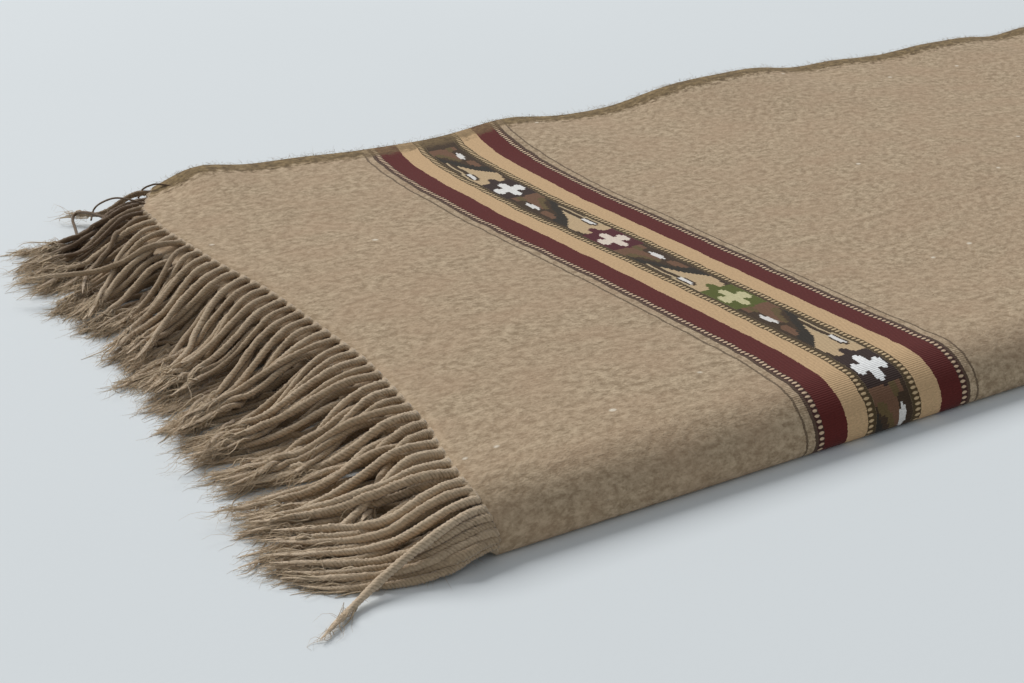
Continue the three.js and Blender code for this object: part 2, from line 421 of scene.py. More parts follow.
def stations(top: int, fold: int, foot: int, low: int) -> list[Station]:
    """Places round the section from the back edge of the top to the back edge of the bottom.

    Args:
        top: Steps over the top.
        fold: Steps round the fold.
        foot: Steps round its foot.
        low: Steps over the bottom.

    Returns:
        The stations in order.
    """
    made = [(Run.TOP, 0.0)]
    runs = ((Run.TOP, 1, top), (Run.FOLD, 90, fold), (Run.FOOT, 90, foot), (Run.LOW, 1, low))
    for run, last, steps in runs:
        made += [(run, value) for value in np.linspace(0, last, steps + 1)[1:]]
    return made


# The boxes on the bake map of a sheet's outside and inside, and the rows of its rim below them.
SHEET_MAP = (((0.005, 0.20), (0.995, 0.995)), ((0.005, 0.05), (0.995, 0.19)))
RIM_MAP_ROWS = (0.005, 0.025)
RIM_MAP_HEIGHT = 0.012


def sheet_surface(outside: np.ndarray, inside: np.ndarray, bulge: float, columns: np.ndarray) -> Surface:
    """Closes the two sides of a sheet with a rounded rim.

    Args:
        outside: A grid of points, one row a weft station and one column a place along the warp.
        inside: The same grid on the other side.
        bulge: How far the middle of the rim stands out.
        columns: The place of each column on the bake map, from 0 to 1.

    Returns:
        The closed surface; its "loop" holds the points that the rim follows.
    """
    rows, count = outside.shape[:2]
    grid = np.arange(rows * count).reshape(rows, count)
    loop = np.concatenate([grid[0, :-1], grid[:-1, -1], grid[-1, :0:-1], grid[:0:-1, 0]])
    inward = np.concatenate([grid[1, :-1], grid[:-1, -2], grid[-2, :0:-1], grid[:0:-1, 1]])
    flat_out = outside.reshape(-1, 3)
    flat_in = inside.reshape(-1, 3)
    middle = (flat_out[loop] + flat_in[loop]) / 2 + bulge * unit(flat_out[loop] - flat_out[inward])
    shift = rows * count
    rim = 2 * shift + np.arange(len(loop))
    after = np.roll(loop, -1)
    rim_after = np.roll(rim, -1)
    a, b, c, d = grid[:-1, :-1], grid[1:, :-1], grid[1:, 1:], grid[:-1, 1:]
    faces = [
        np.stack([a, b, c, d], axis=-1).reshape(-1, 4),
        np.stack([a, d, c, b], axis=-1).reshape(-1, 4) + shift,
        np.stack([loop, after, rim_after, rim], axis=-1),
        np.stack([rim, rim_after, after + shift, loop + shift], axis=-1),
    ]
    share = np.linspace(0, 1, rows)
    place = np.stack(np.broadcast_arrays(columns[None, :], share[:, None]), axis=-1).reshape(-1, 2)
    corners = []
    for block, (low, high) in zip((faces[0], faces[1] - shift), SHEET_MAP):
        corners.append(np.asarray(low) + place[block] * np.subtract(high, low))
    turn = np.arange(len(loop)) / len(loop)
    next_turn = turn + 1 / len(loop)
    for row in RIM_MAP_ROWS:
        low = np.full_like(turn, row)
        high = low + RIM_MAP_HEIGHT
        spots = ((turn, low), (next_turn, low), (next_turn, high), (turn, high))
        corners.append(np.stack([np.stack(spot, axis=-1) for spot in spots], axis=1))
    return Surface(np.concatenate([flat_out, flat_in, middle]), faces, corners, {"loop": loop})


@dataclass
class Cloth:
    """The woven cloth: an outer U round the soft front fold, the cross fold, and an inner U inside it."""

    near: float = 330.0
    near_step: float = 5.0
    far_step: float = 11.0
    inner_step: float = 14.0
    turn_steps: int = 7
    section: tuple[int, int, int, int] = (76, 18, 5, 22)
    rim_bulge: float = 0.9
    visible_share: float = 0.55
    edge_inset: float = 10.0

    def build(self) -> Surface:
        """Builds the closed sheet, with each point's place in the weave.

        Returns:
            The surface; its "weave" holds the place along the warp from the band, along the weft, and
            from the selvedge.
        """
        near_x = np.arange(0, self.near, self.near_step)
        outer_x = np.concatenate([near_x, np.arange(self.near, FORM.bend, self.far_step), [FORM.bend]])
        inner_x = np.append(np.arange(0, FORM.bend - self.inner_step / 2, self.inner_step), FORM.bend)
        outside, inside = [], []
        for station in stations(*self.section):
            outer_edge = FORM.edge(OUTER_TOP_EDGE, OUTER_LOW_EDGE, station)
            inner_edge = FORM.edge(INNER_TOP_EDGE, INNER_LOW_EDGE, station)
            outer_at = outer_edge + (FORM.bend - outer_edge) * outer_x / FORM.bend
            inner_at = inner_edge + (FORM.bend - inner_edge) * inner_x / FORM.bend
            skin, back = (FORM.points(face, station, outer_at) for face in FORM.outer)
            inner_skin, inner_back = (FORM.points(face, station, inner_at) for face in FORM.inner)
            middle = (skin[-1] + inner_back[-1]) / 2
            skin_turn = self.turn(middle, skin[-1], inner_back[-1])
            back_turn = self.turn(middle, back[-1], inner_skin[-1])
            outside.append(np.concatenate([skin, skin_turn, inner_back[::-1]]))
            inside.append(np.concatenate([back, back_turn, inner_skin[::-1]]))
        grid = np.array(outside)
        made = sheet_surface(grid, np.array(inside), self.rim_bulge, self.columns(grid))
        made.values = {"weave": self.weave(grid, len(outer_x), made.values["loop"])}
        return made

    def turn(self, middle: np.ndarray, start: np.ndarray, end: np.ndarray) -> np.ndarray:
        """Rounds the cross fold between the ends of an outer and an inner face.

        Args:
            middle: The middle of the turn.
            start: The end of the outer face.
            end: The end of the inner face.

        Returns:
            The points between them.
        """
        half = (start - end) / 2
        angles = np.pi * np.arange(1, self.turn_steps + 1) / (self.turn_steps + 1)
        points = middle + np.cos(angles)[:, None] * half
        points[:, 0] += np.linalg.norm(half) * np.sin(angles)
        return points

    def columns(self, outside: np.ndarray) -> np.ndarray:
        """Shares the bake map's width out among the columns, most of it for the near end outside.

        Args:
            outside: The grid of the sheet's outer side.

        Returns:
            Each column's place, from 0 to 1.
        """
        length = np.cumsum(np.append(0, np.linalg.norm(np.diff(outside[0], axis=0), axis=-1)))
        shown = length[np.searchsorted(outside[0, :, 0], self.near)]
        return np.interp(length, (0, shown, length[-1]), (0, self.visible_share, 1))

    def weave(self, outside: np.ndarray, first: int, loop: np.ndarray) -> np.ndarray:
        """Each point's place along the warp from the band, along the weft, and from the nearer selvedge.

        Args:
            outside: The grid of the sheet's outer side.
            first: The first column of the cross fold.
            loop: The points that the rim follows.

        Returns:
            One row a point, for both sides and the rim.
        """
        steps = np.linalg.norm(np.diff(outside[..., 1:], axis=0), axis=-1)
        weft = np.concatenate([np.zeros((1, outside.shape[1])), np.cumsum(steps, axis=0)])
        selvedge = np.minimum(weft, weft[-1] - weft)
        along = outside[..., 0].copy()
        bend = slice(first, first + self.turn_steps)
        turn = outside[:, first - 1 : first + self.turn_steps + 1]
        runs = np.cumsum(np.linalg.norm(np.diff(turn, axis=1), axis=-1), axis=1)
        along[:, bend] = FORM.bend + np.minimum(runs[:, :-1], runs[:, -1:] - runs[:, :-1])
        warp = (along - rounded(BAND_DRIFT, weft, WEAVE_SPAN)) / rounded(BAND_SPREAD, weft, WEAVE_SPAN)
        places = np.stack([warp, weft, selvedge], axis=-1).reshape(-1, 3)
        return np.concatenate([places, places, places[loop]])


class Row(Enum):
    """The rows of cords, in the order in which they are settled; the numbers also seed their draws."""

    OUTER_FOLD = 0
    OUTER_TOP = 1
    INNER_TOP = 2
    INNER_LOW = 3
    OUTER_LOW = 4
    INNER_FOLD = 5


@dataclass(frozen=True)
class CordRow:
    """One row of cords: its layer's edge, where it starts and ends along the weft, and how it falls."""

    kind: Row
    edge: Table
    first: float
    last: float
    height: float
    lift: float
    level: float
    fall: float


@dataclass(frozen=True)
class FoldCord:
    """A cord that hangs from the front of the fold: its root's angle, its tip's place, how far its middle
    bows out, how high its tip rests and where it has come down."""

    angle: float
    x: float
    y: float
    bow: float
    rest: float = 0.0
    fall: float = 0.6


@dataclass(frozen=True)
class Sweep:
    """A cord of the outer top row that strays: how far along the weft, how much shorter, how much it lies
    above the rest, and how late it turns."""

    along: float
    shorter: float = 0.0
    above: float = 0.0
    turn: float = 1.6


# Where the cords end and how far they lean sideways, by place along the weft.
CORD_ENDS = (
    (0, -88), (40, -85), (90, -66), (150, -63), (210, -57), (260, -46), (305, -43), (340, -40), (380, -20),
)
CORD_LEANS = (
    (0, 20), (30, 18), (65, 12), (103, 0), (150, -22), (190, -36),
    (240, -46), (266, -38), (305, -26), (340, -14), (380, -6),
)
LOW_LEAN = 0.6
# The cords near the fold are fuller than those at the back. Their tones run paler near the fold and darker
# towards the back, which is painted shade for the back cords that lie in shadow.
CORD_SIZES = ((20, 1.16), (60, 1.08), (150, 0.9), (360, 0.86))
CORD_TONES_AND_SHADE = ((0, 0.5), (120, 0.1), (250, -0.25), (330, -0.45))
# By share of a cord's length: how it tapers, how close others come, and how near the floor it lies.
CORD_TAPER = ((0, 1), (0.66, 1), (0.84, 0.62), (1, 0.07))
CORD_ROOM = ((0, 1), (0.7, 1), (1, 0.5))
CORD_FLOOR = ((0, 1), (0.7, 1), (1, 0.35))
FOLD_CORDS = (
    FoldCord(8, -70, 48, -3, 6.0),
    FoldCord(20, -74, 42, -3, 5.0),
    FoldCord(32, -78, 36, -4, 4.0),
    FoldCord(44, -89, -14, 4, 0.5, 0.8),
    FoldCord(53, -80, 32, -6, 2.5),
    FoldCord(61, -78, 28, -8, 1.5),
    FoldCord(69, -80, 25, -8, 0.8),
    FoldCord(77, -77, 21, -9),
    FoldCord(85, -75, 19, -7),
)
INNER_FOLD_CORDS = (
    FoldCord(10, -76, 44, -3, 5.0),
    FoldCord(28, -80, 38, -4, 3.5),
    FoldCord(44, -82, 33, -5, 2.0),
    FoldCord(58, -78, 28, -6, 1.0),
    FoldCord(70, -80, 24, -7, 0.5),
    FoldCord(82, -74, 20, -7),
)
# By number of the cord, counted from the fold.
SWEEPS = {
    0: Sweep(6, 10, 2.0),
    1: Sweep(8, 8, 2.0),
    2: Sweep(-16, 24, 2.0, 2.6),
    3: Sweep(7, 4),
    4: Sweep(-22, 36, 3.0, 2.8),
    5: Sweep(-14, 26, 2.0, 2.4),
    7: Sweep(8),
    8: Sweep(-10, 18, 2.0, 2.2),
    12: Sweep(-7, 10, 1.0),
    16: Sweep(9, 0, 1.0),
    21: Sweep(-8, 8),
    25: Sweep(10, 4, 1.0),
    28: Sweep(-9, 6, 1.0, 2.2),
    31: Sweep(8, 12),
    33: Sweep(44, -8, 6.0, 1.2),
    34: Sweep(-10, 4, 2.0),
    35: Sweep(14, 6),
    36: Sweep(-24, 8, 3.0, 2.6),
    37: Sweep(14, 2, 2.0),
    38: Sweep(-30, 10, 4.0, 2.8),
    39: Sweep(10, -4, 3.0),
    40: Sweep(-22, 0, 2.0, 1.4),
    41: Sweep(6, 6),
    42: Sweep(-18, -4),
    43: Sweep(30, 28, 0.0, 1.2),
}
PITCH = 7.8
IN_LAYER = 0.35
OUTER_TOP_ROW = CordRow(Row.OUTER_TOP, OUTER_TOP_EDGE, 30, 368, 19 + IN_LAYER, 1, 2.9, 0.72)
INNER_TOP_ROW = CordRow(Row.INNER_TOP, INNER_TOP_EDGE, 33.9, 362, 13.6 + IN_LAYER, 0.65, 2.9, 0.6)
INNER_LOW_ROW = CordRow(Row.INNER_LOW, INNER_LOW_EDGE, 15.9, 356, 5.4 + IN_LAYER, 0, 0, 0.4)
OUTER_LOW_ROW = CordRow(Row.OUTER_LOW, OUTER_LOW_EDGE, 12, 356, IN_LAYER, 0, 0, 0.25)


@dataclass
class CordLay:
    """Lays the cords out as the solids do, bunches them unevenly, and settles them on each other and the
    floor."""

    radius: float = 1.58
    rise: float = 1.3
    root_reach: float = 0.8
    fall_start: float = 0.08
    lean_power: float = 1.2
    tip_uneven: float = 5.0
    tip_range: Range = (-1, 9)
    level_range: Range = (0, 1.6)
    fall_range: Range = (0.78, 1.22)
    arch_range: Range = (0.2, 1.6)
    arch_reach: float = 0.42
    sway_ranges: tuple[Range, Range, Range] = ((0.5, 3.0), (0.7, 1.5), (0, 1))
    sway_reach: float = 0.45
    bunch_sizes: tuple[int, int] = (3, 7)
    bunch_pull: Range = (0.25, 0.7)
    bunch_shift: float = 1.5
    bunch_reach: float = 0.85
    bunch_power: float = 1.2
    cord_shift: float = 1.6
    knots: int = 46
    held_knots: int = 4
    rounds: int = 16
    contact: float = 2.8
    push: float = 0.4
    push_axes: tuple[float, float, float] = (1, 1, 1.3)
    most_push: float = 1.2
    smoothing: float = 0.3
    seed: int = 11

    def all_rows(self) -> dict[Row, np.ndarray]:
        """Lays every row and settles all of them together.

        Returns:
            The centre lines of each row, cords by knots by three.
        """
        rows = (OUTER_TOP_ROW, INNER_TOP_ROW, INNER_LOW_ROW, OUTER_LOW_ROW)
        laid = {row.kind: self.row(row) for row in rows}
        laid[Row.OUTER_FOLD] = self.from_fold(FOLD_CORDS, FORM.outer, OUTER_TOP_EDGE)
        laid[Row.INNER_FOLD] = self.from_fold(INNER_FOLD_CORDS, FORM.inner, INNER_TOP_EDGE)
        settled = self.settle(np.concatenate([laid[kind] for kind in Row]))
        ends = np.cumsum([len(laid[kind]) for kind in Row])
        return dict(zip(Row, np.split(settled, ends[:-1])))

    def held_up(self, share: np.ndarray, fall: np.ndarray | float) -> np.ndarray:
        """How much of its height a cord still has at a share of its length."""
        return 1 - ease((share - self.fall_start) / (fall - self.fall_start))

    def row(self, row: CordRow) -> np.ndarray:
        """The centre lines of one row.

        Args:
            row: The row.

        Returns:
            An array of cords by knots by three.
        """
        share = np.linspace(0, 1, self.knots)
        y = np.arange(row.first, row.last, PITCH)
        count = len(y)
        number = row.kind.value
        rng = np.random.default_rng(self.seed + number)
        sweeps = [SWEEPS.get(i, Sweep(0)) if row is OUTER_TOP_ROW else Sweep(0) for i in range(count)]
        stray, shorter, above, turn = np.array([(s.along, s.shorter, s.above, s.turn) for s in sweeps]).T
        root = rounded(row.edge, y, EDGE_SPAN) - self.root_reach
        usual = rounded(CORD_ENDS, y, EDGE_SPAN)
        tip = usual + self.tip_uneven * uneven(np.arange(count) + number * 100, 1)
        tip = tip + rng.uniform(*self.tip_range, count) + shorter
        lean = rounded(CORD_LEANS, y, EDGE_SPAN) * (1 if row.lift else LOW_LEAN)
        origin = rounded(OUTER_TOP_EDGE, y, EDGE_SPAN)
        x = root[:, None] + (tip - root)[:, None] * share
        out = np.maximum(0, (origin[:, None] - x) / (origin - usual)[:, None])
        drift = self.bunching(y, rng)[:, None] * ease(share / self.bunch_reach) ** self.bunch_power
        drift = drift + stray[:, None] * share ** turn[:, None]
        across = y[:, None] + lean[:, None] * out**self.lean_power + drift + self.sway(count, share, rng)
        height = row.height + row.lift * FORM.wave(root, y)
        level = row.level + above + rng.uniform(*self.level_range, count) * (row.level > 0)
        held = self.held_up(share, row.fall * rng.uniform(*self.fall_range, (count, 1)))
        z = level[:, None] + (height - level)[:, None] * held + self.rise
        if row.lift:
            arch = np.sin(np.pi * np.clip(share / self.arch_reach, 0, 1)) ** 2
            z = z + rng.uniform(*self.arch_range, (count, 1)) * arch
        return np.stack([x, across, z], axis=-1)

    def sway(self, count: int, share: np.ndarray, rng: np.random.Generator) -> np.ndarray:
        """Small side-to-side wanderings of each cord that grow away from its root.

        Args:
            count: How many cords.
            share: The shares of a cord's length at its knots.
            rng: The source of each cord's own sway.

        Returns:
            The way aside, cords by knots.
        """
        size, turns, phase = (rng.uniform(low, high, (count, 1)) for low, high in self.sway_ranges)
        return size * ease(share / self.sway_reach) * np.sin(2 * np.pi * (turns * share + phase))

    def bunching(self, y: np.ndarray, rng: np.random.Generator) -> np.ndarray:
        """How far each cord's tip is drawn to the middle of its bunch of three to six.

        Args:
            y: The roots' places along the weft.
            rng: The source of the bunches.

        Returns:
            The way along the weft of each cord.
        """
        pull = np.zeros(len(y))
        start = 0
        while start < len(y):
            end = min(len(y), start + int(rng.integers(*self.bunch_sizes)))
            inward = y[start:end].mean() - y[start:end]
            pull[start:end] = rng.uniform(*self.bunch_pull) * inward + rng.normal(0, self.bunch_shift)
            start = end
        return pull + rng.normal(0, self.cord_shift, len(y))

    def from_fold(
        self, cords: Sequence[FoldCord], faces: tuple[Face, Face], edge_table: Table
    ) -> np.ndarray:
        """The centre lines of the few cords that hang from the front of a fold.

        Args:
            cords: The cords.
            faces: The faces of the layer that they hang from.
            edge_table: Its fringed edge.

        Returns:
            An array of cords by knots by three.
        """
        share = np.linspace(0, 1, self.knots)
        made = []
        for cord in cords:
            station = (Run.FOLD, cord.angle)
            edge = np.array([FORM.edge(edge_table, edge_table, station) - self.root_reach])
            root = np.mean([FORM.points(face, station, edge)[0] for face in faces], axis=0)
            x = root[0] + (cord.x - root[0]) * share
            y = root[1] + (cord.y - root[1]) * share**self.lean_power + cord.bow * np.sin(np.pi * share)
            low = self.rise + cord.rest
            z = low + (root[2] - low) * self.held_up(share, cord.fall)
            made.append(np.stack([x, y, z], axis=-1))
        lines = np.array(made)
        lines[..., 1] += self.sway(len(lines), share, np.random.default_rng(self.seed + len(lines)))
        return lines

    def settle(self, cords: np.ndarray) -> np.ndarray:
        """Moves cords that lie in each other apart, a little at a time, and keeps them above the floor.

        Args:
            cords: All centre lines, cords by knots by three.

        Returns:
            The settled centre lines.
        """
        count, knots = cords.shape[:2]
        share = np.linspace(0, 1, knots)
        places = cords.copy()
        owner = np.repeat(np.arange(count), knots)
        held = np.tile(np.arange(knots) < self.held_knots, count)
        room = np.tile(read(CORD_ROOM, share), count)
        floor = self.radius * read(CORD_FLOOR, share)
        for _ in range(self.rounds):
            flat = places.reshape(-1, 3)
            tree = kdtree.KDTree(len(flat))
            for index, point in enumerate(flat):
                tree.insert(point, index)
            tree.balance()
            move = np.zeros_like(flat)
            for index in np.flatnonzero(~held):
                for other, near, distance in tree.find_range(flat[index], self.contact):
                    reach = self.contact * (room[index] + room[near]) / 2
                    if owner[near] == owner[index] or distance >= reach or distance < 1e-6:
                        continue
                    apart = self.push * (reach - distance) / distance
                    move[index] += apart * (flat[index] - other) * self.push_axes
            places = (flat + np.clip(move, -self.most_push, self.most_push)).reshape(count, knots, 3)
            inner = places[:, self.held_knots : -1]
            between = (places[:, self.held_knots - 1 : -2] + places[:, self.held_knots + 1 :]) / 2
            places[:, self.held_knots : -1] = inner + self.smoothing * (between - inner)
            places[..., 2] = np.maximum(places[..., 2], floor)
        return places


def smooth_lines(knots: np.ndarray, count: int) -> np.ndarray:
    """Runs smooth lines through knots, evenly spaced in share.

    Args:
        knots: Lines by knots by three.
        count: How many points each line gets.

    Returns:
        Lines by points by three.
    """
    last = knots.shape[1] - 1
    at = np.linspace(0, last, count)
    base = np.clip(at.astype(int), 0, last - 1)
    t = (at - base)[None, :, None]
    p0, p1, p2, p3 = (knots[:, np.clip(base + step, 0, last)] for step in (-1, 0, 1, 2))
    return 0.5 * (
        2 * p1 + (p2 - p0) * t + (2 * p0 - 5 * p1 + 4 * p2 - p3) * t**2 + (3 * p1 - p0 - 3 * p2 + p3) * t**3
    )


# The share of a tube's strip of the bake map for its side, and the places of its end faces beside it.
TUBE_MAP_SIDE = 0.9
TUBE_MAP_END = 0.92
TUBE_MAP_END_STEP = 0.01


def tubes(lines: np.ndarray, width: np.ndarray, height: np.ndarray, ring: np.ndarray) -> Surface:
    """Sweeps closed tubes along lines.

    Args:
        lines: Centre lines, lines by steps by three.
        width: Half width at each step.
        height: Half height at each step.
        ring: The size of each point of the ring, lines by steps by points of the ring.

    Returns:
        One surface of all the tubes, each on its own strip of the bake map.
    """
    count, steps = lines.shape[:2]
    sides = ring.shape[-1]
    ahead = unit(np.gradient(lines, axis=1))
    side = unit(np.cross((0.0, 0.0, 1.0), ahead))
    over = np.cross(ahead, side)
    angle = 2 * np.pi * np.arange(sides) / sides
    wide = (np.cos(angle) * ring * width[..., None])[..., None]
    tall = (np.sin(angle) * ring * height[..., None])[..., None]
    points = lines[:, :, None] + wide * side[:, :, None] + tall * over[:, :, None]
    base = (np.arange(count) * steps * sides)[:, None, None]
    i, j = np.meshgrid(np.arange(steps - 1), np.arange(sides), indexing="ij")
    after = (j + 1) % sides
    a, b = base + i * sides + j, base + i * sides + after
    c, d = base + (i + 1) * sides + after, base + (i + 1) * sides + j
    cell = (np.arange(count) / count)[:, None, None]
    step_u = TUBE_MAP_SIDE / count / sides
    u0, v0 = cell + j * step_u, (i / (steps - 1)) + 0 * cell
    u1, v1 = u0 + step_u, v0 + 1 / (steps - 1)
    faces, corners = [], []
    for trio, spots in (
        ((a, b, c), ((u0, v0), (u1, v0), (u1, v1))),
        ((a, c, d), ((u0, v0), (u1, v1), (u0, v1))),
    ):
        faces.append(np.stack(trio, axis=-1).reshape(-1, 3))
        corners.append(np.stack([np.stack(s, axis=-1) for s in spots], axis=-2).reshape(-1, 3, 2))
    end_u, end_v = (np.array(((0.0, 0.0), (0.5, 0.0), (0.5, 1.0))) * (step_u / 2, 0.5 / steps)).T
    for k in range(1, sides - 1):
        place = cell[:, 0] + (TUBE_MAP_END + TUBE_MAP_END_STEP * k) / count
        for start, order in ((0, (0, k + 1, k)), ((steps - 1) * sides, (0, k, k + 1))):
            faces.append(base[:, 0] + start + np.array(order))
            corners.append(np.stack([place + end_u, np.broadcast_to(end_v, (count, 3))], axis=-1))
    return Surface(points.reshape(-1, 3), faces, corners)


def yarn_values(
    shape: tuple[int, ...], tone: np.ndarray | float, along: np.ndarray | float, ply: np.ndarray | float
) -> dict[str, np.ndarray]:
    """The values that the yarn's finish reads, one of each a point.

    Args:
        shape: The shape of the points' array.
        tone: From dark to pale; on the cords it also carries painted shade.
        along: The share of the cord's length.
        ply: The height of the plies.

    Returns:
        The values by name.
    """
    given = {"tone": tone, "along": along, "ply": ply}
    return {key: np.broadcast_to(value, shape).ravel() for key, value in given.items()}


@dataclass(frozen=True)
class Fray:
    """One kind of loose fibre on a cord: how many, where along it, how far they spread, how long and thick
    they are, in how many steps, how far off the cord's middle they start, and how much they bend."""

    count: int
    start: Range
    spread: float
    length: Range
    thick: float
    steps: int
    off: float
    bend: float


# Split strands of the tips, fine fibres of the tips, and short hairs along the whole cord.
FRAYS = (
    Fray(5, (0.68, 0.84), 0.1, (9, 19), 0.46, 5, 1.2, 0.06),
    Fray(26, (0.66, 0.95), 0.15, (4, 15), 0.11, 5, 1.3, 0.14),
    Fray(64, (0.03, 0.95), 0.9, (0.9, 3.0), 0.085, 2, 1.4, 0.09),
)
# Fibres spread and curl less upwards, sag towards their tips, and stay clear of the floor.
FIBRE_SIDES = 3
FIBRE_AXES = (1, 1, 0.5)
FIBRE_START_AXES = (1, 1, 0.7)
FIBRE_CURL = 0.9
FIBRE_CURL_POWER = 0.8
FIBRE_SAG = 0.14
FIBRE_LEAST = 0.02
FIBRE_CLEARANCE = 1.2
FIBRE_PLY = 0.7


def fibre_surface(
    starts: np.ndarray,
    courses: np.ndarray,
    lengths: np.ndarray,
    fray: Fray,
    rng: np.random.Generator,
    along: np.ndarray,
) -> Surface:
    """Makes thin curling fibres that taper to nothing and stay above the floor.

    Args:
        starts: Where each fibre begins.
        courses: Its first direction.
        lengths: Its length.
        fray: Its kind, for its thickness and steps.
        rng: The source of its curl.
        along: Its place along the cord, for the finish.

    Returns:
        The fibres as three-sided tubes.
    """
    count = len(starts)
    share = np.linspace(0, 1, fray.steps + 1)
    curl = rng.normal(0, FIBRE_CURL * fray.spread**FIBRE_CURL_POWER, (count, 1, 3)) * FIBRE_AXES
    bend = rng.normal(0, fray.bend, (count, 1, 3)) * np.sin(2 * np.pi * share)[None, :, None]
    reach = share[None, :, None] * courses[:, None] + curl * (share**2)[None, :, None] + bend
    lines = starts[:, None] + reach * lengths[:, None, None]
    lines[..., 2] -= FIBRE_SAG * lengths[:, None] * share**2
    shape = (count, fray.steps + 1, FIBRE_SIDES)
    size = fray.thick * np.broadcast_to(np.sqrt(np.maximum(FIBRE_LEAST, 1 - share)), shape[:2])
    lines[..., 2] = np.maximum(lines[..., 2], FIBRE_CLEARANCE * size)
    made = tubes(lines, size, size, np.ones(shape))
    made.values = yarn_values(shape, rng.uniform(0, 1, (count, 1, 1)), along[:, None, None], FIBRE_PLY)
    return made


@dataclass
class Fringe:
    """One end's fringe: cords on a narrow strip along the cloth's edge, with frayed tips and hairs."""

    faces: tuple[Face, Face]
    top: CordRow
    low: CordRow
    lay: CordLay
    # The strip: drawn out to a tooth at each root, and thinner than the cloth that it leaves.
    overlap: float = 0.6
    hem: float = 1.0
    tooth: float = 2.6
    tooth_power: float = 0.7
    strip_slim: tuple[float, float, float] = (0.24, 0.07, 0.03)
    gap_slim: float = 0.1
    strip_bulge: float = 0.3
    strip_section: tuple[int, int, int, int] = (400, 24, 6, 130)
    strip_tone: float = 0.5
    # The cords: eight sides, with ridges for the twist. The real plies are up to 1.6 mm apart; they are
    # drawn 1.7 mm apart to spare triangles.
    sides: int = 8
    cord_length: float = 94.0
    ridge_spacing: float = 1.7
    ridge_height: float = 0.1
    ridge_of_cord: Range = (0.5, 1.2)
    ridge_of_turn: Range = (0.2, 1.6)
    lumps: float = 0.06
    thick_range: Range = (0.84, 1.1)
    root_size: float = 1.04
    tip_loss: float = 0.2
    swell: float = 0.06
    swell_turns: Range = (20, 34)
    swell_starts: Range = (0, 6)
    flare: float = 0.45
    flare_reach: float = 3.0
    fray_start: float = 0.74
    fray_end: float = 0.94
    fray_width: float = 0.75
    fray_flat: float = 0.4
    fray_path_steps: int = 60
    floor_gap: float = 0.05
    # The tones: painted shade darkens the cords at the back corner and in the rows below, where shadow
    # falls on them, and in the grooves between the plies.
    back_shade_from: float = 312.0
    back_shade_span: float = 30.0
    back_shade_tone: float = 0.9
    deep_shade_from: float = 21.0
    deep_shade_span: float = 12.0
    deep_shade_tone: float = 0.6
    ply: float = 0.6
    ply_depth: float = 0.25

    def strip(self) -> Surface:
        """Builds the strip, drawn out a little at each cord's root.

        Returns:
            The closed strip, with the values of the cords' finish.
        """
        outside, inside = [], []
        for station in stations(*self.strip_section):
            near = FORM.edge(self.top.edge, self.low.edge, station) + self.overlap
            y = FORM.points(self.faces[0], station, np.array([near]))[0, 1]
            tooth = (0.5 + 0.5 * math.cos(2 * math.pi * (y - self.top.first) / PITCH)) ** self.tooth_power
            reach = self.hem + self.tooth * tooth
            x = near - np.array([reach, reach / 2, 0])
            skin, back = (FORM.points(face, station, x) for face in self.faces)
            end, middle, root = self.strip_slim
            slim = np.array([end + self.gap_slim * (1 - tooth), middle, root])[:, None]
            outside.append(skin + slim * (back - skin))
            inside.append(back + slim * (skin - back))
        columns = np.linspace(0, 1, len(self.strip_slim))
        made = sheet_surface(np.array(outside), np.array(inside), self.strip_bulge, columns)
        made.values = yarn_values((len(made.points),), self.strip_tone, 0.0, self.ply)
        return made

    def cords(self, lines: np.ndarray, rng: np.random.Generator) -> Surface:
        """Sweeps twisted cords along their centre lines.

        Args:
            lines: Settled centre lines.
            rng: The source of each cord's own tone and thickness.

        Returns:
            The cords, with their tone, place along the cord, and height of the plies.
        """
        count = len(lines)
        steps = int(self.cord_length / self.ridge_spacing * 2)
        shape = (count, steps, self.sides)
        along = np.linspace(0, 1, steps)
        fray = ease((along - self.fray_start) / (self.fray_end - self.fray_start))
        roots = lines[:, 0, 1]
        thick = self.lay.radius * rng.uniform(*self.thick_range, (count, 1))
        thick = thick * (self.root_size - self.tip_loss * along) * read(CORD_SIZES, roots)[:, None]
        turns = along * rng.uniform(*self.swell_turns, (count, 1))
        swell = 1 + self.swell * np.sin(turns + rng.uniform(*self.swell_starts, (count, 1)))
        flare = 1 + self.flare * np.exp(-((along * self.cord_length / self.flare_reach) ** 2))
        taper = read(CORD_TAPER, along)
        width = thick * swell * flare * taper * (1 + self.fray_width * fray)
        height = thick * swell * taper * (1 - self.fray_flat * fray)
        turned = np.arange(self.sides)[None, :] - np.arange(steps)[:, None]
        ridge = np.where(turned % 2 == 0, 1.0, -1.0) * rng.uniform(*self.ridge_of_cord, (count, 1, 1))
        ridge = ridge * rng.uniform(*self.ridge_of_turn, (count, steps, 1))
        plain = (1 - fray)[:, None]
        ring = 1 + self.ridge_height * plain * ridge + rng.normal(0, self.lumps, shape)
        made = tubes(smooth_lines(lines, steps), width, height, ring)
        made.points[:, 2] = np.maximum(made.points[:, 2], self.floor_gap)
        # Painted shade: the cords at the back corner are darkened for the shadow that falls on them there.
        dark = ease((roots - self.back_shade_from) / self.back_shade_span)
        # Painted shade: the cords of the rows below are darkened for the shadow of the layers above them.
        deep_shade = ease((self.deep_shade_from - lines[:, 0, 2]) / self.deep_shade_span)
        tone = rng.uniform(0, 1, count) + read(CORD_TONES_AND_SHADE, roots)
        tone = tone - self.back_shade_tone * dark - self.deep_shade_tone * deep_shade
        ply = self.ply + self.ply_depth * ridge * plain
        made.values = yarn_values(shape, tone[:, None, None], along[:, None], ply)
        return made

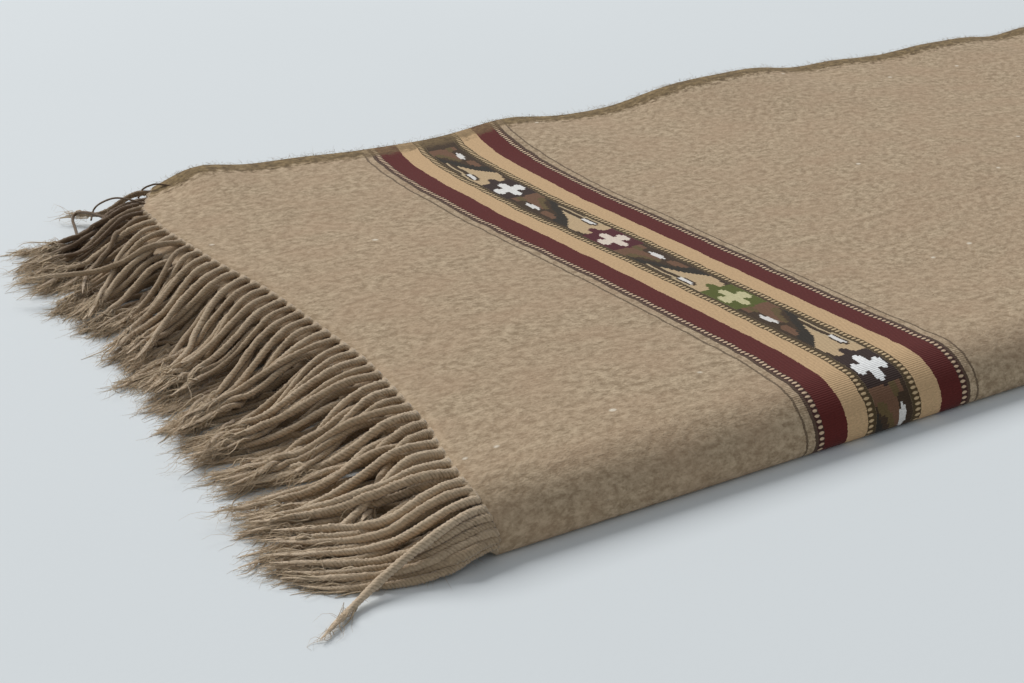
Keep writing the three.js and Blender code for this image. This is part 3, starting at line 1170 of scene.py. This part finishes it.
    def fibres(self, lines: np.ndarray, rng: np.random.Generator) -> Surface:
        """Splits the tips into strands, draws these out into fibres, and sets short hairs along the cords.

        Args:
            lines: Settled centre lines.
            rng: The source of each fibre's course.

        Returns:
            The fibres, with the values of the cords' finish.
        """
        path = smooth_lines(lines, self.fray_path_steps)
        ahead = unit(np.gradient(path, axis=1))
        made = []
        for number, fray in enumerate(FRAYS):
            cord = np.repeat(np.arange(len(lines)), fray.count)
            shape = (len(cord), 3)
            spot = rng.uniform(*fray.start, len(cord))
            at = (spot * (path.shape[1] - 1)).astype(int)
            course = unit(ahead[cord, at] + rng.normal(0, fray.spread, shape) * FIBRE_AXES)
            starts = path[cord, at] + fray.off * unit(rng.normal(0, 1, shape)) * FIBRE_START_AXES
            lengths = rng.uniform(*fray.length, len(cord))
            part = fibre_surface(starts, course, lengths, fray, rng, spot)
            top = (number + 1) / len(FRAYS) - FIBRE_MAP_GAP
            made.append(part.on_map((0, number / len(FRAYS)), (1, top)))
        return Surface.joined(made)


@dataclass(frozen=True)
class LooseThread:
    """A dark thread of the selvedge, worked loose at the back corner, through given places."""

    places: tuple[tuple[float, float, float], ...]
    thick: float = 0.5
    steps: int = 72
    sides: int = 5
    tone: float = -1.0
    along: float = 0.2
    ply: float = 0.5

    def build(self) -> Surface:
        """Sweeps the thread as a thin tube in the cords' darkest tone.

        Returns:
            The thread, with the values of the cords' finish.
        """
        line = smooth_lines(np.array([self.places], float), self.steps)
        size = np.full((1, self.steps), self.thick)
        made = tubes(line, size, size, np.ones((1, self.steps, self.sides)))
        made.values = yarn_values((len(made.points),), self.tone, self.along, self.ply)
        return made


LOOSE_THREADS = (
    LooseThread(((58, 360, 20.5), (53, 365, 20.8), (49.5, 366, 20.6), (45.5, 367.5, 18.6), (43, 368, 14))),
    LooseThread(
        ((36, 346, 19), (31, 355, 19.5), (28, 363.5, 18), (25, 371, 14), (23, 376.5, 9), (18, 370, 6))
    ),
    LooseThread(
        (
            (24, 338, 14.5), (18.5, 350, 13), (16.5, 367, 11), (14.5, 377.5, 8),
            (11, 376, 6), (7.5, 366, 5), (3, 354, 5),
        ),
        thick=0.8,
    ),
    LooseThread(
        (
            (-12, 330, 5), (-18, 336, 4.5), (-21.5, 344, 3),
            (-27, 344, 1.6), (-34, 338.5, 0.8), (-37, 336, 0.6),
        )
    ),
)
# Where the parts of a fringe lie on its bake map.
STRIP_MAP = ((0.0, 0.0), (1.0, 0.12))
CORD_MAP = ((0.0, 0.13), (1.0, 0.95))
THREAD_MAP_ROWS = (0.96, 1.0)
THREAD_MAP_WIDTH = 0.2
FIBRE_MAP_GAP = 0.01


@dataclass
class Nap:
    """The loose hairs that stand out from the selvedges, the fold and the top of the fulled cloth."""

    selvedge_hairs: int = 5600
    fold_hairs: int = 900
    top_hairs: int = 500
    longest: float = 3.4
    shortest_share: float = 0.15
    selvedge: Range = (34.0, 960.0)
    selvedge_depth: float = 0.6
    skin_share: float = 0.6
    fold_angles: Range = (4.0, 90.0)
    top_shares: Range = (0.01, 1.0)
    napped: Range = (34.0, 900.0)
    band: Range = (152.0, 262.0)
    # The courses of the hairs: a mean and a spread, a range, or spreads alone, along, across and up.
    selvedge_along: Range = (0, 0.9)
    selvedge_out: Range = (0.2, 1.0)
    selvedge_up: Range = (0.15, 0.35)
    fold_spread: tuple[float, float, float] = (0.9, 0.5, 0.5)
    top_spread: Range = (1, 1)
    top_up: Range = (0.05, 0.3)
    hair: Fray = Fray(1, (0, 1), 0.5, (1, 5), 0.07, 3, 0, 0.09)
    spot: float = 0.5
    seed: int = 23

    def build(self) -> Surface:
        """Sets the hairs on the outer layer, each with its own course.

        Returns:
            The hairs, with the values of the fibres' finish.
        """
        rng = np.random.default_rng(self.seed)
        skin, back = FORM.outer
        starts, courses = [], []
        for _ in range(self.selvedge_hairs):
            x = np.array([rng.uniform(*self.selvedge)])
            layer = skin if rng.uniform() < self.skin_share else back
            starts.append(FORM.points(layer, (Run.TOP, 0.0), x)[0] + rng.normal(0, self.selvedge_depth, 3))
            along = rng.normal(*self.selvedge_along)
            out = rng.uniform(*self.selvedge_out)
            courses.append((along, out, rng.normal(*self.selvedge_up)))
        for _ in range(self.fold_hairs):
            angle = rng.uniform(*self.fold_angles)
            starts.append(FORM.points(skin, (Run.FOLD, angle), self.off_band(rng))[0])
            outward = np.array((0, -math.sin(math.radians(angle)), math.cos(math.radians(angle))))
            courses.append(outward + [rng.normal(0, spread) for spread in self.fold_spread])
        for _ in range(self.top_hairs):
            station = (Run.TOP, rng.uniform(*self.top_shares))
            starts.append(FORM.points(skin, station, self.off_band(rng))[0])
            level = [rng.normal(0, spread) for spread in self.top_spread]
            courses.append((*level, rng.uniform(*self.top_up)))
        lengths = self.longest * rng.uniform(self.shortest_share, 1, len(starts)) ** 2
        spots = np.full(len(starts), self.spot)
        return fibre_surface(np.array(starts), unit(np.array(courses)), lengths, self.hair, rng, spots)

    def off_band(self, rng: np.random.Generator) -> np.ndarray:
        """Draws a place along the warp, off the smooth band and the fringed edge.

        Args:
            rng: The source of the place.

        Returns:
            The place, as an array of one.
        """
        low, high = self.band
        x = rng.uniform(self.napped[0], self.napped[1] - (high - low))
        return np.array([x if x < low else x + high - low])


# What a node that mixes two colours is set to.
COLOURS: dict[str, Any] = {"out": 2, "data_type": "RGBA"}


class NodeSheet:
    """One material and its node tree, with a Principled shader to link to."""

    def __init__(self, name: str) -> None:
        """Starts the material.

        Args:
            name: The material's name.
        """
        self.material = bpy.data.materials.new(name)
        self.material.use_nodes = True
        self.tree = self.material.node_tree
        self.shader = self.tree.nodes["Principled BSDF"]

    def add(
        self,
        kind: str,
        inputs: Sequence[Any] | dict[int | str, Any] = (),
        out: int | str = 0,
        stops: Sequence[tuple[float, Sequence[float]]] = (),
        **settings: Any,
    ) -> Socket:
        """Adds a node with its settings and links.

        Args:
            kind: The node's type, without "ShaderNode".
            inputs: A value or another node's socket for each input, in order, or by name or number.
            out: The output to give back.
            stops: The places and colours of a colour ramp, held from each place to the next.
            **settings: The node's own properties.

        Returns:
            The output socket.
        """
        node = self.tree.nodes.new("ShaderNode" + kind)
        for name, value in settings.items():
            setattr(node, name, value)
        if stops:
            ramp = node.color_ramp
            ramp.interpolation = "CONSTANT"
            while len(ramp.elements) < len(stops):
                ramp.elements.new(1.0)
            for element, (place, colour) in zip(ramp.elements, stops):
                element.position = place
                element.color = colour
        for key, value in inputs.items() if isinstance(inputs, dict) else enumerate(inputs):
            if isinstance(value, Socket):
                self.tree.links.new(value, node.inputs[key])
            else:
                node.inputs[key].default_value = value
        return node.outputs[out]

    def finish(self, colour: Socket, bump: Socket, **fixed: Any) -> bpy.types.Material:
        """Links the colour and the bump to the shader and sets its other sockets.

        Args:
            colour: The base colour.
            bump: The normal.
            **fixed: Constant sockets by name, with underscores for blanks.

        Returns:
            The material.
        """
        self.tree.links.new(colour, self.shader.inputs["Base Color"])
        self.tree.links.new(bump, self.shader.inputs["Normal"])
        for name, value in fixed.items():
            self.shader.inputs[name.replace("_", " ")].default_value = value
        return self.material


@dataclass(frozen=True)
class Stripe:
    """A plain stripe of the band on both sides of its middle line, by distance from it."""

    middle: float
    half: float
    colour: str


@dataclass(frozen=True)
class BeadRow:
    """A row of two-coloured wrapped stitches on both sides of the band's middle line."""

    middle: float
    half: float
    bead: str
    between: str


STRIPES = (
    Stripe(46.0, 0.55, "#7a6853"),
    Stripe(41.0, 0.95, "#5f4c3e"),
    Stripe(38.65, 1.75, "#54342f"),
    Stripe(31.1, 6.1, "#632824"),
    Stripe(19.5, 5.6, "#d3b187"),
    Stripe(12.0, 2.35, "#564730"),
)
BEAD_ROWS = (
    BeadRow(38.65, 1.35, "#dcc0a0", "#4a2f2a"),
    BeadRow(12.55, 1.5, "#d4b990", "#5c4930"),
)

# One repeat of the motif, from the middle of one cross to the middle of the next, charted.
# Each line is a row across the band, in runs of threads: x is a cross and g the ground round it.
CHART = (
    "8g 6r 2k 6d 15k 9c 5b 9g",
    "2x 6g 5r 3o 2k 5d 15c 7k 6b 7g 2x",
    "3x 5g 5r 4o 2k 5d 14k 7w 1k 5b 6g 3x",
    "3x 5g 5r 4o 4k 5d 12k 6w 2k 5b 6g 3x",
    "2x 6g 6r 4o 4k 6d 11c 6k 6b 7g 2x",
    "2x 6g 8r 4o 3k 7d 20b 8g 2x",
    "6x 2g 9r 5o 3k 7d 16b 6g 6x",
    "7x 2g 10r 5o 3k 7d 13b 6g 7x",
    "7x 2g 12r 3o 5k 7d 11b 6g 7x",
    "6x 2g 5o 10r 8k 6d 11b 6g 6x",
    "2x 6g 5o 4k 5w 3k 5r 8d 13b 7g 2x",
    "2x 6g 4o 3k 8w 2k 7r 7d 12b 7g 2x",
    "3x 5g 4r 4k 5w 4k 8r 7d 11b 6g 3x",
    "3x 5g 4r 14k 7r 8d 9b 1k 6g 3x",
    "2x 6g 26k 8d 5b 4k 7g 2x",
    "8g 43k 9g",
)
THREADS = {
    "o": "#6d5b3c",
    "r": "#7a5a45",
    "d": "#39332b",
    "k": "#4a3a2b",
    "b": "#cbb08a",
    "c": "#c6b08c",
    "w": "#ece8e2",
}
# The threads of each cross in turn and of its ground; a ramp's alpha tells which of the two is meant.
CROSS_THREADS = (
    ("#f2efe9", "#42332e"),
    ("#ecdccb", "#5b2a30"),
    ("#d2ca9d", "#5f652f"),
    ("#fdfdfb", "#3e2f2a"),
)
GROUND_CODE = 0.5
CROSS_CODE = 0.0
CODE_REACH = 0.1


@dataclass(frozen=True)
class FulledWool:
    """Fulled wool, woven: the nap hides the threads, so the eye gets a matt, mottled ground with pale neps.

    The patterned band is woven in tapestry with finer yarn, so it is smoother, ribbed and crisply coloured.
    """

    pale: str = "#ccb698"
    dark: str = "#9c866b"
    warm: str = "#b6997d"
    nep: str = "#efe4d0"
    cloud_size: float = 30.0
    mottle_size: float = 4.2
    mottle_weight: float = 2.2
    fibre_size: float = 1.0
    fibre_draw: tuple[float, float, float] = (0.7, 1.0, 0.0)
    tone_range: Range = (1.28, 1.92)
    warm_range: Range = (0.35, 0.7)
    warm_share: float = 0.45
    nap_mottle: float = 1.4
    nep_spacing: float = 16.0
    nep_edge: Range = (0.085, 0.045)
    nep_from: float = 0.62
    nep_strength: float = 0.8
    selvedge: str = "#99825c"
    selvedge_dark: str = "#604e36"
    selvedge_width: float = 12.0
    selvedge_wander: float = 22.0
    selvedge_fade: Range = (13.0, 8.0)
    selvedge_on_band: float = 0.7
    lump_fibre: float = 0.4
    lump_range: Range = (0.52, 0.88)
    band_half: float = 46.6
    wobble_size: float = 16.0
    wobble: float = 2.4
    jag_size: float = 1.1
    jag_across: float = 1.1
    jag_along: float = 1.2
    motif_half: float = 9.6
    first_cross: float = 92.2
    plain_edge: float = 14.0
    repeat: float = 84.5
    bead_pitch: float = 2.35
    bead_round: float = -1.3
    bead_edge: Range = (-0.45, 0.1)
    bead_height: float = 0.5
    bead_level: float = 0.9
    # The real ribs are 0.7 mm apart, too fine for the render, so they are drawn at 1.05 mm.
    rib_pitch: float = 1.05
    rib_height: float = 0.18
    rib_level: float = 0.5
    worn_range: Range = (0.2, 0.8)
    worn_shade: Range = (0.8, 1.16)
    band_fibre: float = 0.35
    relief: float = 0.0007
    relief_strength: float = 0.45

    def material(self) -> bpy.types.Material:
        """Builds the finish from the weave's own places in millimetres.

        Returns:
            The material.
        """
        sheet = NodeSheet("fulled_wool_woven")
        add = sheet.add
        weave = add("Attribute", out="Vector", attribute_name="weave")
        warp, weft, from_edge = add("SeparateXYZ", (weave,)).node.outputs
        wobble = add("TexNoise", {"Vector": weave, "Scale": 1 / self.wobble_size, "Detail": 2.0})
        jag = add("TexNoise", {"Vector": weave, "Scale": 1 / self.jag_size, "Detail": 1.0}, out="Color")
        jags = add("SeparateXYZ", (jag,)).node.outputs
        across = add("Math", (wobble, self.wobble, warp), operation="MULTIPLY_ADD")
        across = add("Math", (jags[0], self.jag_across, across), operation="MULTIPLY_ADD")
        across = add("Math", (across, (self.wobble + self.jag_across) / 2), operation="SUBTRACT")
        jagged = add("Math", (jags[1], self.jag_along, weft), operation="MULTIPLY_ADD")
        ground, fibre, mottle = self.ground(sheet, weave)
        band, relief, inside = self.band(sheet, across, jagged, weft, fibre, ground)
        edge = add("Math", (mottle, self.selvedge_wander, from_edge), operation="MULTIPLY_ADD")
        edge = add("MapRange", (edge, *(self.selvedge_width + fade for fade in self.selvedge_fade)))
        over_band = add("Math", (edge, self.selvedge_on_band), operation="MULTIPLY")
        lumps = add("Math", (fibre, self.lump_fibre, mottle), operation="MULTIPLY_ADD")
        lumps = add("MapRange", (lumps, *self.lump_range))
        tones = {0: lumps, 6: linear(self.selvedge_dark), 7: linear(self.selvedge)}
        selvedge = add("Mix", tones, **COLOURS)
        ground = add("Mix", {0: edge, 6: ground, 7: selvedge}, **COLOURS)
        band = add("Mix", {0: over_band, 6: band, 7: selvedge}, **COLOURS)
        colour = add("Mix", {0: inside, 6: ground, 7: band}, **COLOURS)
        nap = add("Math", (mottle, self.nap_mottle, fibre), operation="MULTIPLY_ADD")
        height = add("Mix", {0: inside, 2: nap, 3: relief}, data_type="FLOAT")
        bump = add("Bump", {"Strength": self.relief_strength, "Distance": self.relief, "Height": height})
        return sheet.finish(
            colour, bump, Roughness=0.96, Specular_IOR_Level=0.1, Sheen_Weight=0.1, Sheen_Roughness=0.5
        )

    def ground(self, sheet: NodeSheet, weave: Socket) -> tuple[Socket, Socket, Socket]:
        """Mottles the ground: soft clouds, short matted fibres and a few pale neps.

        Args:
            sheet: The material.
            weave: The place in the weave.

        Returns:
            The colour, the fibres and the mottle.
        """
        add = sheet.add
        cloud = add("TexNoise", {"Vector": weave, "Scale": 1 / self.cloud_size, "Detail": 2.0})
        spots = {"Vector": weave, "Scale": 1 / self.mottle_size, "Detail": 4.0, "Roughness": 0.65}
        mottle = add("TexNoise", spots)
        drawn = add("VectorMath", (weave, self.fibre_draw), operation="MULTIPLY")
        hairs = {"Vector": drawn, "Scale": 1 / self.fibre_size, "Detail": 3.0, "Roughness": 0.6}
        fibre = add("TexNoise", hairs)
        tone = add("Math", (mottle, self.mottle_weight, fibre), operation="MULTIPLY_ADD")
        tone = add("MapRange", (tone, *self.tone_range))
        colour = add("Mix", {0: tone, 6: linear(self.dark), 7: linear(self.pale)}, **COLOURS)
        warmth = add("MapRange", (cloud, *self.warm_range, 0.0, self.warm_share))
        colour = add("Mix", {0: warmth, 6: colour, 7: linear(self.warm)}, **COLOURS)
        cells = add("TexVoronoi", {"Vector": drawn, "Scale": 1 / self.nep_spacing}).node.outputs
        speck = add("MapRange", (cells["Distance"], *self.nep_edge))
        chosen = add("Math", (cells["Color"], self.nep_from), operation="GREATER_THAN")
        nep = add("Math", (speck, chosen), operation="MULTIPLY")
        nep = add("Math", (nep, self.nep_strength), operation="MULTIPLY")
        colour = add("Mix", {0: nep, 6: colour, 7: linear(self.nep)}, **COLOURS)
        return colour, fibre, mottle

    def band(
        self, sheet: NodeSheet, across: Socket, jagged: Socket, weft: Socket, fibre: Socket, ground: Socket
    ) -> tuple[Socket, Socket, Socket]:
        """Colours the band: stripes and bead rows on both sides of the charted motif.

        Args:
            sheet: The material.
            across: Distance from the band's middle line.
            jagged: Place along the weft, made jagged.
            weft: Place along the weft.
            fibre: The fine unevenness of the yarn.
            ground: The colour of the cloth between the lines.

        Returns:
            The band's colour and relief, and 1 inside it.
        """
        add = sheet.add
        distance = add("Math", (across,), operation="ABSOLUTE")
        inside = add("Math", (distance, self.band_half), operation="LESS_THAN")
        colour = ground
        for stripe in STRIPES:
            mask = add("Math", (distance, stripe.middle, stripe.half), operation="COMPARE")
            colour = add("Mix", {0: mask, 6: colour, 7: linear(stripe.colour)}, **COLOURS)
        turn = add("Math", (weft, 2 * math.pi / self.bead_pitch), operation="MULTIPLY")
        round_bead = add("Math", (turn,), operation="SINE")
        raised = add("Math", (round_bead, self.bead_height, self.bead_level), operation="MULTIPLY_ADD")
        ribs = add("Math", (weft, 2 * math.pi / self.rib_pitch), operation="MULTIPLY")
        relief = add("Math", (ribs,), operation="SINE")
        relief = add("Math", (relief, self.rib_height, self.rib_level), operation="MULTIPLY_ADD")
        for row in BEAD_ROWS:
            mask = add("Math", (distance, row.middle, row.half), operation="COMPARE")
            off = add("Math", (distance, row.middle), operation="SUBTRACT")
            off = add("Math", (off, 1 / row.half), operation="MULTIPLY")
            off = add("Math", (off, off), operation="MULTIPLY")
            dome = add("Math", (off, self.bead_round, round_bead), operation="MULTIPLY_ADD")
            bright = add("MapRange", (dome, *self.bead_edge))
            bead = add("Mix", {0: bright, 6: linear(row.between), 7: linear(row.bead)}, **COLOURS)
            colour = add("Mix", {0: mask, 6: colour, 7: bead}, **COLOURS)
            relief = add("Mix", {0: mask, 2: relief, 3: raised}, data_type="FLOAT")
        motif = self.motif(sheet, across, jagged)
        mask = add("Math", (distance, self.motif_half), operation="LESS_THAN")
        colour = add("Mix", {0: mask, 6: colour, 7: motif}, **COLOURS)
        worn = add("MapRange", (fibre, *self.worn_range, *self.worn_shade))
        shade = add("VectorMath", {0: colour, 3: worn}, operation="SCALE")
        relief = add("Math", (fibre, self.band_fibre, relief), operation="MULTIPLY_ADD")
        return shade, relief, inside

    def motif(self, sheet: NodeSheet, across: Socket, weft: Socket) -> Socket:
        """Reads the chart: each row is a ramp along the weft, and every other repeat is turned over.

        Args:
            sheet: The material.
            across: Distance from the band's middle line.
            weft: Place along the weft.

        Returns:
            The motif's colour.
        """
        add = sheet.add
        phase = add("Math", (weft, self.first_cross), operation="SUBTRACT")
        phase = add("Math", (phase, self.repeat), operation="DIVIDE")
        cell = add("Math", (phase,), operation="FLOOR")
        along = add("Math", (phase, cell), operation="SUBTRACT")
        odd = add("Math", (cell, 2.0), operation="FLOORED_MODULO")
        flip = add("Math", (odd, 2.0, -1.0), operation="MULTIPLY_ADD")
        turned = add("Math", (across, flip), operation="MULTIPLY")
        row_at = add("Math", (turned, self.motif_half), operation="ADD")
        row_at = add("Math", (row_at, len(CHART) / (2 * self.motif_half)), operation="MULTIPLY")
        colour = code = None
        for number, row in enumerate(CHART):
            ramp = add("ValToRGB", (along,), stops=self.row_stops(row))
            row_code = ramp.node.outputs["Alpha"]
            if colour is None:
                colour, code = ramp, row_code
                continue
            below = add("Math", (row_at, float(number)), operation="GREATER_THAN")
            colour = add("Mix", {0: below, 6: colour, 7: ramp}, **COLOURS)
            code = add("Mix", {0: below, 2: code, 3: row_code}, data_type="FLOAT")
        crosses = float(len(CROSS_THREADS))
        nearest = add("Math", (phase, 0.5), operation="ADD")
        nearest = add("Math", (nearest,), operation="FLOOR")
        nearest = add("Math", (nearest, crosses), operation="FLOORED_MODULO")
        nearest = add("Math", (nearest, 0.5), operation="ADD")
        nearest = add("Math", (nearest, crosses), operation="DIVIDE")
        whole = add("Math", (phase, self.plain_edge / self.repeat - 1), operation="GREATER_THAN")
        for which, level in ((1, GROUND_CODE), (0, CROSS_CODE)):
            stops = [(i / crosses, linear(pair[which])) for i, pair in enumerate(CROSS_THREADS)]
            thread = add("ValToRGB", (nearest,), stops=stops)
            mask = add("Math", (code, level, CODE_REACH), operation="COMPARE")
            mask = add("Math", (mask, whole), operation="MULTIPLY")
            colour = add("Mix", {0: mask, 6: colour, 7: thread}, **COLOURS)
        return colour

    @staticmethod
    def row_stops(row: str) -> list[tuple[float, tuple[float, float, float, float]]]:
        """Turns a row of the chart to the stops of a ramp; the alpha tells the cross and its ground apart.

        Args:
            row: The row, in runs of threads.

        Returns:
            The place and the colour of each stop.
        """
        runs = [(int(run[:-1]), run[-1]) for run in row.split()]
        total = sum(count for count, _ in runs)
        dark = linear(THREADS["k"])[:3]
        codes = {"g": (*dark, GROUND_CODE), "x": (*dark, CROSS_CODE)}
        stops = []
        start = 0
        for count, thread in runs:
            stops.append((start / total, codes[thread] if thread in codes else linear(THREADS[thread])))
            start += count
        return stops


@dataclass(frozen=True)
class TwistedCord:
    """Twisted wool yarn, spun: matt and hairy, with painted shade between the plies and on cords in shadow,
    paler where it frays.
    """

    pale: str = "#d5bfa2"
    dark: str = "#b0997c"
    brown_and_shade: str = "#5f4a38"
    groove_shade: str = "#7c6852"
    frayed: str = "#e6d0b4"
    tone_weight: float = 0.5
    cloud_weight: float = 0.6
    mixed_range: Range = (0.6, 1.5)
    brown_and_shade_range: Range = (0.0, -1.0)
    brown_and_shade_share: float = 0.85
    frayed_range: Range = (0.62, 0.95)
    frayed_share: float = 0.7
    groove_shade_range: Range = (0.64, 0.36)
    groove_shade_share: float = 0.5
    fibre_size: float = 0.9
    cloud_size: float = 22.0
    relief: float = 0.0007
    relief_strength: float = 0.8

    def material(self, name: str) -> bpy.types.Material:
        """Builds the finish from the cords' own values.

        Args:
            name: The material's name.

        Returns:
            The material.
        """
        sheet = NodeSheet(name)
        add = sheet.add
        keys = ("tone", "along", "ply")
        tone, along, ply = (add("Attribute", out="Fac", attribute_name=key) for key in keys)
        place = add("TexCoord", out="Object")
        fibre = add("TexNoise", {"Vector": place, "Scale": 1 / (self.fibre_size * MM), "Detail": 3.0})
        cloud = add("TexNoise", {"Vector": place, "Scale": 1 / (self.cloud_size * MM), "Detail": 2.0})
        mixed = add("Math", (tone, self.tone_weight, fibre), operation="MULTIPLY_ADD")
        mixed = add("Math", (cloud, self.cloud_weight, mixed), operation="MULTIPLY_ADD")
        mixed = add("MapRange", (mixed, *self.mixed_range))
        colour = add("Mix", {0: mixed, 6: linear(self.dark), 7: linear(self.pale)}, **COLOURS)
        for value, span, share, tint in (
            # The brown end of the tone: the dark loose threads' own colour, and painted shade on the back
            # and lower cords.
            (tone, self.brown_and_shade_range, self.brown_and_shade_share, self.brown_and_shade),
            (along, self.frayed_range, self.frayed_share, self.frayed),
            # Painted shade: the groove colour darkens the cords between the plies.
            (ply, self.groove_shade_range, self.groove_shade_share, self.groove_shade),
        ):
            amount = add("MapRange", (value, *span, 0.0, share))
            colour = add("Mix", {0: amount, 6: colour, 7: linear(tint)}, **COLOURS)
        bump = add("Bump", {"Strength": self.relief_strength, "Distance": self.relief, "Height": fibre})
        return sheet.finish(
            colour, bump, Roughness=0.95, Specular_IOR_Level=0.1, Sheen_Weight=0.35, Sheen_Roughness=0.45
        )


@dataclass(frozen=True)
class Studio:
    """A plain pale floor, soft light from above and behind, and the camera at the photograph's angle.

    The floor is painted board, rolled: matt and even, so it shows only soft shadows.
    """

    floor_side: float = 40.0
    floor_colour: str = "#eaeff1"
    floor_shade: str = "#e3e8ea"
    floor_clouds: float = 1.6
    floor_grain: float = 3.0
    floor_relief: float = 0.0003
    floor_relief_strength: float = 0.1
    sky_colour: str = "#f4f8fc"
    sky_strength: float = 0.34
    lamp_place: tuple[float, float, float] = (-1.6, 9.0, 7.4)
    lamp_aim: tuple[float, float, float] = (-0.15, 0.0, 0.0)
    lamp_side: float = 5.4
    lamp_watts: float = 1150.0
    lens: float = 69.90
    sensor: float = 36.0
    nearest: float = 0.01
    camera_place: tuple[float, float, float] = (-391.1, -486.6, 350.0)
    camera_right: tuple[float, float, float] = (0.79656, -0.60205, 0.05507)
    camera_up: tuple[float, float, float] = (0.19706, 0.34467, 0.91781)

    def build(self) -> None:
        """Sets the floor, the light and the camera."""
        self.floor()
        self.light()
        self.camera()
        bpy.context.scene.view_settings.view_transform = "Standard"

    def floor(self) -> None:
        """Lays the floor at the underside of the shawl, with a faint unevenness of tone."""
        half = self.floor_side / 2
        mesh = bpy.data.meshes.new("floor")
        corners = [(-half, -half, 0), (half, -half, 0), (half, half, 0), (-half, half, 0)]
        mesh.from_pydata(corners, [], [(0, 1, 2, 3)])
        made = bpy.data.objects.new("floor", mesh)
        bpy.context.scene.collection.objects.link(made)
        sheet = NodeSheet("painted_board")
        add = sheet.add
        place = add("TexCoord", out="Object")
        cloud = add("TexNoise", {"Vector": place, "Scale": self.floor_clouds, "Detail": 3.0})
        tones = {0: cloud, 6: linear(self.floor_shade), 7: linear(self.floor_colour)}
        colour = add("Mix", tones, **COLOURS)
        grain = add("TexNoise", {"Vector": place, "Scale": 1 / (self.floor_grain * MM), "Detail": 2.0})
        relief = {"Strength": self.floor_relief_strength, "Distance": self.floor_relief, "Height": grain}
        bump = add("Bump", relief)
        mesh.materials.append(sheet.finish(colour, bump, Roughness=0.85, Specular_IOR_Level=0.2))

    def light(self) -> None:
        """Hangs one large soft lamp behind and above, and lights the rest evenly."""
        lamp = bpy.data.lights.new("soft_lamp", "AREA")
        lamp.shape = "SQUARE"
        lamp.size = self.lamp_side
        lamp.energy = self.lamp_watts
        made = bpy.data.objects.new("soft_lamp", lamp)
        made.location = self.lamp_place
        made.rotation_euler = (Vector(self.lamp_aim) - made.location).to_track_quat("-Z", "Y").to_euler()
        bpy.context.scene.collection.objects.link(made)
        world = bpy.data.worlds.new("studio")
        world.use_nodes = True
        sky = world.node_tree.nodes["Background"]
        sky.inputs["Color"].default_value = linear(self.sky_colour)
        sky.inputs["Strength"].default_value = self.sky_strength
        bpy.context.scene.world = world

    def camera(self) -> None:
        """Places the camera."""
        data = bpy.data.cameras.new("camera")
        data.lens = self.lens
        data.sensor_width = self.sensor
        data.sensor_fit = "HORIZONTAL"
        data.clip_start = self.nearest
        made = bpy.data.objects.new("camera", data)
        right, up = Vector(self.camera_right), Vector(self.camera_up)
        turn = Matrix((right, up, right.cross(up))).transposed().to_4x4()
        place = Vector(self.camera_place) * MM + Vector(maker_origin())
        made.matrix_world = Matrix.Translation(place) @ turn
        bpy.context.scene.collection.objects.link(made)
        bpy.context.scene.camera = made


def ride(piece: bpy.types.Object, slot: str, *nodes: str) -> bpy.types.Object:
    """Joins a piece to the body, hides the solids that it stands for, and reports it.

    Args:
        piece: The piece.
        slot: Not used.
        *nodes: The solids that it stands for.

    Returns:
        The piece.
    """
    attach(piece, BODY)
    if nodes:
        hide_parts(*nodes)
    LOG.info("%s: %d faces", piece.name, len(piece.data.polygons))
    return piece


def main() -> None:
    """Builds the shawl and the studio round it."""
    logging.basicConfig(level=logging.INFO, format="%(message)s")
    cloth = Cloth()
    sheet = cloth.build()
    cloth_piece = ride(sheet.as_object("shawl_cloth", FulledWool().material()), "wool_cloth", "cloth")

    lay = CordLay()
    lines = lay.all_rows()
    cord_wool = TwistedCord().material("twisted_wool_cord")
    fibre_wool = TwistedCord(pale="#cfbc9f", dark="#a58f72", frayed="#d8bf9e").material("loose_wool_fibre")
    outer = Fringe(FORM.outer, OUTER_TOP_ROW, OUTER_LOW_ROW, lay)
    inner = Fringe(FORM.inner, INNER_TOP_ROW, INNER_LOW_ROW, lay)
    for name, fringe, kinds, threads in (
        ("fringe_outer", outer, (Row.OUTER_FOLD, Row.OUTER_TOP, Row.OUTER_LOW), LOOSE_THREADS),
        ("fringe_inner", inner, (Row.INNER_FOLD, Row.INNER_TOP, Row.INNER_LOW), ()),
    ):
        rng = np.random.default_rng(lay.seed + sum(kind.value for kind in kinds))
        laid = np.concatenate([lines[kind] for kind in kinds])
        parts = [fringe.strip().on_map(*STRIP_MAP), fringe.cords(laid, rng).on_map(*CORD_MAP)]
        for number, thread in enumerate(threads):
            left = number / len(threads)
            low, high = THREAD_MAP_ROWS
            parts.append(thread.build().on_map((left, low), (left + THREAD_MAP_WIDTH, high)))
        ride(Surface.joined(parts).as_object("shawl_" + name, cord_wool), "wool_cord", name)
        ride(fringe.fibres(laid, rng).as_object(name + "_fibres", fibre_wool), "wool_cord")
    ride(Nap().build().as_object("cloth_nap", fibre_wool), "wool_cloth")

    Studio().build()


if __name__ == "__main__":
    main()
